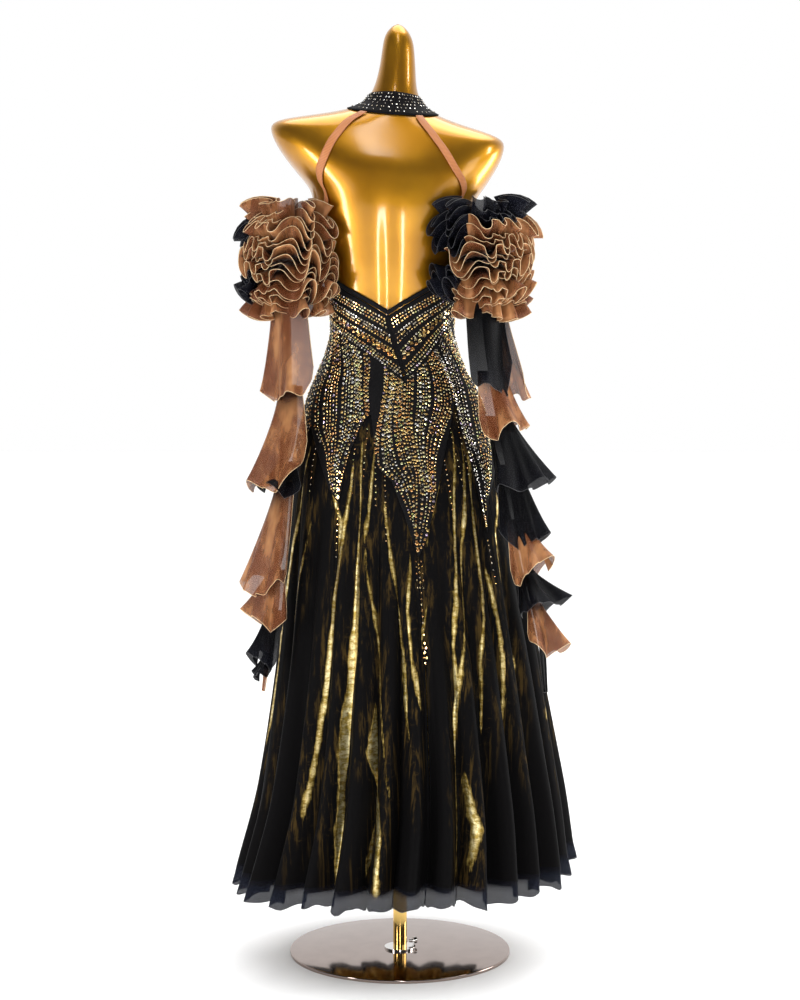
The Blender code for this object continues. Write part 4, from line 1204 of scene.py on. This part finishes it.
def around(degrees, radius):
    """A level offset, with 0 degrees towards -Y and 90 towards +X."""
    return vectors(radius * sin_deg(degrees), -radius * cos_deg(degrees), 0 * radius)


def leaning(facing, tilt):
    """The direction that points out at one angle round a body and up by a tilt."""
    level = cos_deg(tilt)
    return vectors(level * sin_deg(facing), -level * cos_deg(facing), sin_deg(tilt))


def ball_reach(root, tilt):
    """How long a ruffle at this tilt is when its edge meets the pouf's rounded outline."""
    reach = np.linspace(5, 130, 251)
    across = (ARMBAND_RADIUS + RUFFLE_ROOT + reach * cos_deg(tilt)) / BALL_WIDE
    up = (root + reach * sin_deg(tilt)) / BALL_TALL
    return reach[np.abs(across) ** 2.4 + np.abs(up) ** 2.4 < 1].max()


def ruffle_grid(place, row, lift):
    """One layer of a ruffle row: gathered at its root on the armband, in loops at its edge."""
    count = round((row.end - row.start) * 0.8) + 1
    turns = np.linspace(row.start + 0.5, row.end - 0.5, count)
    turn, out = crossed(turns, np.linspace(0, 1, 8))
    steep = 1.06 * row.tilt
    # The loops' widths wander round the band. All layers share this, and lean over from one to the
    # next, so that they nest
    bend = 110 * sin_deg(turn * 2.3 + 40) + 60 * sin_deg(turn * 5.3 + 200)
    wave = 360.0 * turn / RUFFLE_WAVE + bend + 1.9 * (steep + lift)
    own = wander(turn / 15, row.root + lift)
    other = wander(turn / 9, row.root * 2 + lift + 3)
    grow = smooth_step(out, 0.0, 0.8)
    swing = 32 * (0.9 + 0.6 * wander(turn / 20, 4) + 0.35 * own)
    tilt = steep + lift * out + swing * sin_deg(wave) * (0.1 + 0.9 * grow)
    tilt = tilt + 9 * other * out + 11 * sin_deg(2 * wave + 60 + 60 * own) * out**4
    sway = (-6.0 + 2.0 * other) * sin_deg(2 * wave + 30 * own) * grow
    facing = place.degrees + place.mirror * (turn + sway * out)

    def laid_out(length):
        step = length / (out.shape[1] - 1)
        steps = leaning(facing, tilt) * np.asarray(step)[..., None]
        steps[:, 0] = 0
        off = RUFFLE_ROOT + 1.2 * abs(sin_deg(row.tilt))
        root = around(place.degrees + place.mirror * turn[:, :1], ARMBAND_RADIUS + off)
        gathers = sin_deg(turn * GATHERS + 30 * own) * 1.3 * np.exp(-out * 5)
        root = root + place.centre + np.array([0, 0, min(max(row.root + 0.3 * lift, -31), 31)])
        return root + np.cumsum(steps, axis=1) + vectors(0 * out, 0 * out, gathers)

    length = np.full(turn.shape, RUFFLE_SHORTEST)
    open_side = np.ones(len(turn), bool)
    full = ball_reach(row.root, steep + lift) * (1.0 + 0.16 * own) * (0.9 if lift == 0 else 1.0)
    for share in np.linspace(0.12, 1.0, 30):
        clear = bodice_clearance(laid_out(full * share)).min(axis=1) >= RUFFLE_CLEAR
        open_side &= clear
        length = np.where(open_side[:, None], full * share, length)
    for _ in range(3):
        length[1:-1] = np.minimum(length[1:-1], (length[:-2] + length[1:-1] + length[2:]) / 3)
    return laid_out(length), out


def organza_of(name):
    return "tan_organza" if name.startswith("tan") else "black_organza"


def sew_edges(name, edges):
    """The overlocked edges, gold on tan cloth and black on black. Edges are (colour, path, normal)."""
    for finish, slot in (("gold_thread", "tan_organza"), ("black_thread", "black_organza")):
        found = [(path, normal) for colour, path, normal in edges if colour == slot]
        if found:
            threads(f"{name}_{finish}", found, 0.48, finish, slot, sides=4)


def build_pouf(place):
    side, casing = place.side, "armband_casing_" + place.side
    turn, up = crossed(np.linspace(-179.5, 179.5, 120), np.linspace(-1, 1, 7))
    gathers = 0.5 * sin_deg(turn * GATHERS) * (0.4 + 0.6 * up**2)
    band = place.centre + around(turn, ARMBAND_RADIUS + 1.0 + gathers)
    band[..., 2] += up * ARMBAND_HEIGHT / 2
    # The casing is all gathered: dense, and darkened all over as painted shade
    dense_and_shaded = {"gather_and_shade": np.ones(turn.shape)}
    cloth(casing, band, 0.6, place.colour, "armband_" + side, "gathered", numbers=dense_and_shaded)
    edges = []
    for row in RUFFLES[side]:
        colour = organza_of(row.name)
        layers, gathered = [], []
        for lift in RUFFLE_LIFTS:
            grid, out = ruffle_grid(place, row, lift)
            grid = grid[::place.mirror]
            layers.append(grid)
            # How gathered each spot is, which also darkens the cloth towards the armband as painted shade
            gathered.append(np.exp(-out * 2.4))
            edges.append((colour, grid[:, -1], grid_normals(grid)[:, -1]))
        name, node = f"pouf_{side}_{row.name}", f"ruffle_{side}_{row.name}"
        cloth(name, layers, 0.3, colour, node, "gathered", {"gather_and_shade": gathered})
    sew_edges("pouf_" + side, edges)


def build_sleeve(place):
    """The strip that hangs from the armband, and the flounces sewn round it."""
    side, mirror = place.side, place.mirror
    top = place.centre[2] - ARMBAND_HEIGHT / 2 - 0.3
    rows = sorted(SLEEVE_LINES[side])
    rows.append(rows[0]._replace(height=top, x=place.centre[0], y=place.centre[1], radius=STRIP_RADIUS))
    line = curves_of(rows)
    edges = []

    def hanging(column, height, out):
        middle = vectors(line["x"](height), line["y"](height), height)
        return middle + around(place.degrees + mirror * column * SLEEVE_TURN, line["radius"](height) + out)

    def add(name, colour, grid, gather_and_shade):
        grid, numbers = grid[::mirror], {"gather_and_shade": gather_and_shade[::mirror]}
        node, casing = f"sleeve_{side}_{name}", "armband_casing_" + side
        cloth(f"float_{side}_{name}", grid, 0.3, colour, node, "hung", numbers)
        normals = grid_normals(grid)
        for edge in (np.s_[:, 0], np.s_[0], np.s_[-1]):
            edges.append((colour, grid[edge], normals[edge]))

    column, height = crossed(np.linspace(-3, 3, 25), np.linspace(rows[0].height, top, 80))
    # The black strip hangs in close folds and hides more than one layer does. The same number darkens it a
    # little, as painted shade
    doubled = 0.7 if place.colour == "black_organza" else 0.0
    add("strip", place.colour, hanging(column, height, 1.2 * np.sin(column * 2.2)), doubled + 0 * column)
    for number, flounce in enumerate(FLOUNCES[side]):
        span = flounce.end - flounce.start
        shares = np.linspace(0, 1, round(span * 7) + 1)
        share, down = crossed(shares, np.linspace(1, 0, 22))
        column = mix(flounce.start, flounce.end, share)
        wave = FLOUNCE_WAVE * np.sin(2 * math.pi * flounce.waves * share)
        away = cos_deg(column * SLEEVE_TURN)
        flare = mix(flounce.inner, flounce.flare, 0.5 + 0.5 * away) + wave
        edge = flounce.bottom - flounce.drop * away
        ripple = np.sin(column * 1.35 + number * 1.9 + 0.9 * np.sin(column * 0.8 + number))
        curl = np.sin(column * 3.9 + number * 2.7 + 1.7 * ripple)
        # The corners are cut round
        corner = np.clip((np.abs(2 * share - 1) - 0.7) / 0.3, 0, 1)
        edge = edge + 4.0 * curl + 10.0 * ripple + 0.3 * (flounce.top - edge) * (1 - np.sqrt(1 - corner**2))
        out = FLOUNCE_OFF + 0.6 + flare * down**1.15 + 10.0 * ripple * down**1.3 + 5.0 * curl * down**4
        out = np.maximum(out, 1.6 + 0.3 * number)
        grid = hanging(column + 0.10 * curl * down**4, mix(flounce.top, edge, down), out)
        # Black cloth stays close-folded further down, and turns sheer near its edge. The same number darkens
        # each flounce towards its top as painted shade
        colour = organza_of(flounce.name)
        fade = 6 if colour == "tan_organza" else 1.2
        add(flounce.name, colour, grid, np.exp(-down * fade))
    sew_edges("float_" + side, edges)


# ---------------------------------------------------------------- stones

TONES = {
    "gold": (0.82, 0.50, 0.13),
    "amber": (0.66, 0.27, 0.05),
    "straw": (0.95, 0.77, 0.42),
    "clear": (0.90, 0.90, 0.93),
    "moss": (0.52, 0.60, 0.22),
    "violet": (0.62, 0.46, 0.74),
    "smoke": (0.16, 0.14, 0.13),
}
BLENDS = {
    "warm": (("gold", 6), ("amber", 4), ("straw", 3), ("smoke", 2), ("moss", 1)),
    "pale": (("straw", 5), ("gold", 4), ("clear", 2), ("smoke", 2), ("moss", 1)),
    "cool": (("clear", 4), ("smoke", 5), ("straw", 3), ("violet", 1)),
    "fire": (("amber", 5), ("gold", 5), ("violet", 1), ("straw", 2)),
    "night": (("smoke", 7), ("clear", 3)),
}

# Outlines of the stones, in shares of half their width: round, drop with its point up, and bar
DROP_SIDE = [(0.55, 0.75), (0.95, 0.0), (0.85, -0.6), (0.4, -0.98)]
BAR_SIDE = [(0.42, 1.9), (0.62, 1.65), (0.62, -1.65), (0.42, -1.9)]


def both_sides(side):
    return side + [(-x, y) for x, y in side[::-1]]


OUTLINES = {
    "round": [(math.cos(math.radians(60 * i)), math.sin(math.radians(60 * i))) for i in range(6)],
    "drop": [(0, 1.5)] + both_sides(DROP_SIDE),
    "bar": both_sides(BAR_SIDE),
}
STONE_RINGS = ((0.96, -0.1), (1.0, 0.22), (0.62, 0.56))  # size and height of each ring of corners
DOWN = np.array([0.0, 0.0, -1.0])

chance = np.random.default_rng(STONE_SEED)


class Setting:
    """Stones of one piece, gathered by shape before they are made."""

    def __init__(self):
        self.found = {shape: [] for shape in OUTLINES}

    def add(self, shape, points, normals, width, blend, downs=DOWN):
        names, weights = zip(*BLENDS[blend])
        weights = np.array(weights, float) / sum(weights)
        picks = chance.choice(len(names), len(points), p=weights)
        tones = np.array([TONES[name] for name in names])[picks] * chance.uniform(0.8, 1.4, (len(points), 1))
        widths = width * chance.uniform(0.78, 1.12, len(points))
        downs = np.broadcast_to(downs, points.shape)
        points = points + unit(np.cross(downs, normals)) * chance.normal(0, 0.07, (len(points), 1)) * width
        self.found[shape].append((points, normals, downs, widths, tones))

    def make(self, name):
        points, blocks, tones, shift = [], [], [], 0
        for shape, groups in self.found.items():
            if not groups:
                continue
            place, normal, down, width, tone = (np.concatenate(part) for part in zip(*groups))
            outline = np.array(OUTLINES[shape])
            sides, corners = len(outline), len(outline) * len(STONE_RINGS)
            down = unit(down - normal * (down * normal).sum(-1, keepdims=True))
            across = np.cross(down, normal)
            # Each stone tips a little its own way
            aside, ahead = chance.normal(0, 0.16, (2, len(place), 1))
            tip = normal + across * aside + down * ahead
            flat = across[:, None] * outline[:, :1] - down[:, None] * outline[:, 1:]
            rings = [
                place[:, None] + (flat * spread + tip[:, None] * rise) * (width / 2)[:, None, None]
                for spread, rise in STONE_RINGS
            ]
            points.append(np.stack(rings, axis=1).reshape(-1, 3))
            first = shift + np.arange(len(place))[:, None] * corners
            k = np.arange(sides)
            wall = np.stack([k, (k + 1) % sides, (k + 1) % sides + sides, k + sides], axis=1)
            walls = np.concatenate([wall, wall + sides])
            blocks.append((first[:, :, None] + walls[None]).reshape(-1, 4))
            blocks.append(first + 2 * sides + k[None, :])
            blocks.append(first + k[None, ::-1])
            tones.append(np.repeat(tone, corners, axis=0))
            shift += len(place) * corners
        obj = make_object(name, np.concatenate(points), blocks, FINISHES["stones"], smooth=False)
        add_colour(obj, "tone", np.clip(np.concatenate(tones), 0, 1))
        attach(obj, "root")


def along_line(points, spacing):
    """Even steps along a line, as the index and share of each."""
    run = np.concatenate([[0], np.cumsum(np.linalg.norm(np.diff(points, axis=0), axis=1))])
    count = max(int(run[-1] / spacing), 1)
    steps = np.arange(count) + chance.uniform(0.1, 0.9) + chance.normal(0, 0.07, count)
    return np.interp(steps * run[-1] / count, run, np.arange(len(run)))


def bodice_outside(degrees, height):
    return bodice_point(degrees, height, 0.55), normal_of(worn, degrees, height)


def on_bodice(degrees, height):
    """Whether spots are clear of the bodice's bindings and edges."""
    side = from_back(degrees)
    below = (height < bodice_top_at(side) - BINDING_WIDE - 3.5) & (height < collar_low_at(side) - 4)
    return below & (height > basque_edge(degrees) + 6)


def row_of_stones(setting, degrees, heights, spacing, shape, width, blend, keep=None):
    """Stones at even steps along a line on the bodice. Keep says which spots take one."""
    line, _ = bodice_outside(degrees, heights)
    at = along_line(line, spacing)
    index = np.arange(len(degrees))
    degrees, heights = np.interp(at, index, degrees), np.interp(at, index, heights)
    if keep is not None:
        wanted = keep(degrees, heights)
        degrees, heights = degrees[wanted], heights[wanted]
    if len(degrees) > 1:
        points, normals = bodice_outside(degrees, heights)
        setting.add(shape, points, normals, width, blend, np.gradient(points, axis=0))


# The points of the bodice's lower edge, the notches beside each, its lines of stones and their spacing
TIPS = table(
    "degrees left right lines spacing",
    (0, -30.6, 39.6, 17, 6.2), (44, 39.6, 78, 17, 6.2), (105, 78, 142, 12, 8.0),
    (180, 142, 218, 12, 8.0), (255, 218, 283, 12, 8.0), (311, 283, 329.4, 17, 6.2),
)
STREAM_TOP, STREAM_WIDTH = 1230, 3.7
# Larger drops that close each point: how far above it, and how wide
TIP_DROPS = ((12.0, 6.5), (24.0, 7.0), (38.0, 6.0), (54.0, 5.4))
CHEVRONS, CHEVRON_STEP = 15, 7.0
BARE_CHEVRONS = (-1, 3, 7, 11)


def chevron_height(row, degrees):
    """Rows that follow the V of the back and grow steeper below it."""
    return 1146.0 - CHEVRON_STEP * row + np.abs(degrees) * (0.86 + 0.03 * max(row, 0))


def edge_angle(tip, side, height):
    """How far a point's own edge lies from its middle at a height, in degrees."""
    notch = tip.right if side > 0 else tip.left
    low, high = sorted((tip.degrees, notch))
    points = [(a + turn, h) for turn in (-360, 0) for a, h in BASQUE_EDGE if low <= a + turn <= high]
    points = sorted(set(points), key=lambda point: point[1])
    return np.interp(height, [h for _, h in points], [abs(a - tip.degrees) for a, _ in points])


def set_back(setting):
    """Chevrons under the V of the back, with black bands between groups of them."""

    def beside_zip(degrees, height):
        return on_bodice(degrees, height) & (np.abs(degrees) > 2.4)

    for row in range(-22, CHEVRONS):
        if row in BARE_CHEVRONS:
            continue
        shape, width, spacing, blend = "round", 4.0, 5.6, ("pale", "warm", "warm", "pale", "cool")[row % 5]
        if row == 5:
            shape, width, spacing, blend = "bar", 4.6, 12.0, "warm"
        elif row in (9, 10):
            shape, width, spacing, blend = "drop", 6.4, 10.5, "fire"
        for side in (-1, 1):
            degrees = side * np.linspace(2.6, SIDE_SEAM, 160)
            heights = chevron_height(row, degrees)
            row_of_stones(setting, degrees, heights, spacing, shape, width, blend, beside_zip)


def set_streams(setting, tip):
    """Lines of stones that run down the body and close in on a point of the lower edge."""
    point = basque_edge(tip.degrees)
    for side in (-1, 1):
        notch = tip.right if side > 0 else tip.left
        lines = max(round(tip.lines * abs(notch - tip.degrees) / 38), 4)
        for line in range(1 if side > 0 else 0, lines + 1):
            gap = line % 6 == 5 and line < lines - 1
            share = line / lines
            heights = np.linspace(STREAM_TOP, point + 7, 260)
            reach = edge_angle(tip, side, heights)
            sway = 4.0 * np.sin(heights / 42 + 1.7 * share + tip.degrees) * np.minimum(reach / 20, 1)
            degrees = tip.degrees + side * share * np.maximum(reach - 1.4, 0) + sway

            def keep(a, h, line=line, side=side):
                """Fewer lines go on where they draw together, and none in the black bands."""
                each = edge_angle(tip, side, h) * 2.35 / lines
                level = np.ceil(np.log2(np.maximum(4.0 / np.maximum(each, 0.05), 1.0))).astype(int)
                kept = line % (2 ** np.clip(level, 0, 6)) == 0
                if gap:
                    kept &= each < 1.6
                below = h < np.minimum(STREAM_TOP, chevron_height(CHEVRONS, from_back(a)))
                return kept & below & (h > basque_edge(a) + 4.5)

            blend = ("warm", "pale", "fire", "warm", "cool")[(line // 6 + round(tip.degrees)) % 5]
            large = 1.35 if line % 3 == 1 else 0.95
            step, width = tip.spacing * large, STREAM_WIDTH * large
            row_of_stones(setting, degrees, heights, step, "round", width, blend, keep)
    for above, width in TIP_DROPS:
        points, normals = bodice_outside(np.array([float(tip.degrees)]), np.array([point + above]))
        setting.add("drop", points + normals * 0.9, normals, width, "fire")


def set_edge(setting, low, high):
    """One close row along the bodice's lower edge."""
    degrees = np.linspace(low, high, 700)
    row_of_stones(setting, degrees, basque_edge(degrees) + 4.5, 4.8, "round", 3.6, "warm")


def set_front(setting):
    """Level rows that dip towards the middle of the front."""
    for row in range(56):
        if row % 7 == 5:
            continue
        degrees = np.linspace(SIDE_SEAM + 1, 360 - SIDE_SEAM - 1, 260)
        heights = 1062 + 9.0 * row - 0.35 * (180 - from_back(degrees))
        blend = ("pale", "warm", "cool", "warm", "fire")[row % 5]
        row_of_stones(setting, degrees, heights, 7.8, "round", 4.0, blend, on_bodice)


def skirt_outside(degrees, height):
    points = hanging_skirt(degrees, height)
    normals = normal_of(hanging_skirt, degrees, height)
    return points + normals * (CHIFFON_OFF + 0.15), normals


# Single lines of stones on the skirt, below the bodice's edge
TRAILS = table(
    "degrees top bottom width",
    (0, 730, 610, 3.2), (-1.6, 735, 690, 2.8), (1.8, 735, 690, 2.8), (-19, 880, 770, 3.0),
    (-25.5, 930, 830, 3.2), (-33, 960, 880, 3.0), (-41, 925, 850, 2.8), (-49, 822, 740, 3.0),
    (-70, 930, 850, 2.8), (24, 905, 800, 2.8), (33, 960, 850, 3.0), (39.5, 985, 870, 2.8),
    (44, 765, 690, 3.0), (64, 885, 790, 2.8), (78, 940, 860, 2.8), (105, 802, 720, 3.0),
    (142, 940, 850, 2.8), (180, 730, 640, 3.2), (218, 940, 850, 2.8), (255, 818, 740, 3.0),
)
TRAIL_END = [(0.0, 596), (-1.0, 588), (1.0, 588), (0.0, 580), (-0.8, 571), (0.8, 571), (0.0, 562)]


def set_trails(setting):
    for trail in TRAILS:
        count = max(int((trail.top - trail.bottom) / 8.5), 2)
        heights = mix(trail.top, trail.bottom, (np.arange(count) / (count - 1)) ** 1.15)
        points, normals = skirt_outside(np.full(count, float(trail.degrees)), heights)
        setting.add("round", points, normals, trail.width, "warm")
    # A small cluster ends the longest trail
    spots = np.array(TRAIL_END)
    points, normals = skirt_outside(spots[:, 0], spots[:, 1])
    setting.add("drop", points, normals, 5.0, "fire")


def set_collar(setting):
    for row, share in enumerate(np.linspace(0.12, 0.9, 6)):
        degrees = np.linspace(4.5, 355.5, 50) + (3.5 if row % 2 else 0) + chance.normal(0, 1.0, 50)
        degrees = degrees[(degrees < 357) & (chance.random(50) < 0.8)]
        side = from_back(degrees)
        heights = mix(collar_low_at(side), collar_high_at(side), share)
        points = lifted(form_point, degrees, heights, 3.1 + 0.6 * math.sin(math.pi * share))
        normals = normal_of(form_point, degrees, heights)
        setting.add("round", points, normals, 2.9, "night")


def build_stones():
    back, streams, front, trim = Setting(), Setting(), Setting(), Setting()
    set_back(back)
    for tip in TIPS:
        set_streams(streams, tip)
    set_edge(front, 78, 283)
    set_front(front)
    set_trails(trim)
    set_collar(trim)
    back.make("bodice_back_stones")
    streams.make("bodice_stream_stones")
    front.make("bodice_front_stones")
    trim.make("collar_and_skirt_stones")


# ---------------------------------------------------------------- studio


def build_camera():
    camera = add_object("camera", bpy.data.cameras.new("camera"))
    camera.data.lens = CAMERA_LENS
    camera.data.sensor_width = 36
    camera.location = CAMERA_PLACE
    camera.rotation_euler = (math.radians(90 - CAMERA_DOWN), 0, 0)
    bpy.context.scene.camera = camera


# Boxes that the lacquer mirrors, then broad ones that only light the cloth. Places and sizes are in
# metres, and each box aims at a height on the pole
SOFTBOXES = table(
    "name place aim wide tall power mirrored",
    ("strip_left", (-2.05, -1.75, 0.85), 1.3, 0.30, 1.2, 20, True),
    ("strip_low", (0.10, -2.9, 0.55), 1.3, 0.22, 0.7, 11, True),
    ("strip_high", (-0.03, -1.6, 3.15), 1.45, 0.22, 1.1, 6, True),
    ("low_right", (2.3, -1.7, 1.3), 1.3, 0.7, 1.1, 6, True),
    ("side_right", (2.5, 0.3, 0.75), 1.35, 0.8, 1.4, 34, True),
    ("strip_right", (2.3, -0.6, 2.0), 1.6, 0.22, 0.6, 9, True),
    ("overhead", (0.9, 0.2, 3.3), 1.4, 0.9, 0.9, 5, True),
    ("key_left", (-2.4, -3.2, 2.2), 0.9, 1.2, 1.8, 70, False),
    ("key_right", (2.2, -3.4, 2.0), 0.9, 1.2, 1.8, 34, False),
    ("front_fill", (0.6, 3.6, 1.9), 1.0, 1.6, 2.4, 40, False),
)


def add_light(name, kind, power):
    lamp = bpy.data.lights.new(name, kind)
    lamp.energy = power
    return lamp, add_object(name, lamp)


def build_lights():
    for box in SOFTBOXES:
        lamp, obj = add_light(box.name, "AREA", box.power)
        lamp.shape, lamp.size, lamp.size_y = "RECTANGLE", box.wide, box.tall
        obj.location = box.place
        aim = Vector((0, 0, box.aim)) - Vector(box.place)
        obj.rotation_euler = aim.to_track_quat("-Z", "Y").to_euler()
        obj.visible_camera = False
        obj.visible_glossy = box.mirrored
    sky, sun = add_light("soft_sun", "SUN", 2.7)
    sky.angle = math.radians(70)
    sun.rotation_euler = (math.radians(-12), math.radians(6), 0)


def build_floor():
    bpy.ops.object.select_all(action="DESELECT")
    bpy.ops.mesh.primitive_plane_add(size=24.0, location=(0, 0, -0.0002))
    floor = bpy.context.object
    floor.name = "floor"
    bpy.ops.object.transform_apply(location=True, rotation=True, scale=True)
    floor.data.materials.append(pale_floor())


def build_world():
    """White to the camera. To all else, a dark room behind it and a bright backdrop past the dress."""
    world = bpy.data.worlds.new("studio")
    bpy.context.scene.world = world
    world.use_nodes = True
    nodes, links = world.node_tree.nodes, world.node_tree.links
    background = nodes["Background"]
    background.inputs["Strength"].default_value = 1.0
    seen = nodes.new("ShaderNodeBackground")
    seen.inputs["Color"].default_value = (1, 1, 1, 1)
    ray = nodes.new("ShaderNodeLightPath")
    which = nodes.new("ShaderNodeMixShader")
    toward = nodes.new("ShaderNodeVectorMath")
    toward.operation = "DOT_PRODUCT"
    toward.inputs[1].default_value = (0.0, 0.95, 0.2)
    where = nodes.new("ShaderNodeTexCoord")
    ramp = nodes.new("ShaderNodeValToRGB")
    for stop, (position, grey) in zip(ramp.color_ramp.elements, ((0.0, 0.085), (0.6, 0.95))):
        stop.position, stop.color = position, (grey, grey, grey, 1)
    for out, into in (
        (where.outputs["Generated"], toward.inputs[0]),
        (toward.outputs["Value"], ramp.inputs["Fac"]),
        (ramp.outputs["Color"], background.inputs["Color"]),
        (ray.outputs["Is Camera Ray"], which.inputs["Fac"]),
        (background.outputs[0], which.inputs[1]),
        (seen.outputs[0], which.inputs[2]),
        (which.outputs[0], nodes["World Output"].inputs["Surface"]),
    ):
        links.new(out, into)


def build_studio():
    build_floor()
    build_lights()
    build_world()
    bpy.context.scene.view_settings.view_transform = "Standard"
    bpy.context.scene.cycles.transparent_max_bounces = 32


def main():
    build_camera()
    build_studio()
    build_stand()
    build_torso()
    build_collar()
    build_strap("left", -1)
    build_strap("right", 1)
    build_binding()
    build_zip()
    build_bodice()
    build_skirts()
    for place in ARMBANDS:
        build_pouf(place)
        build_sleeve(place)
    build_stones()


main()
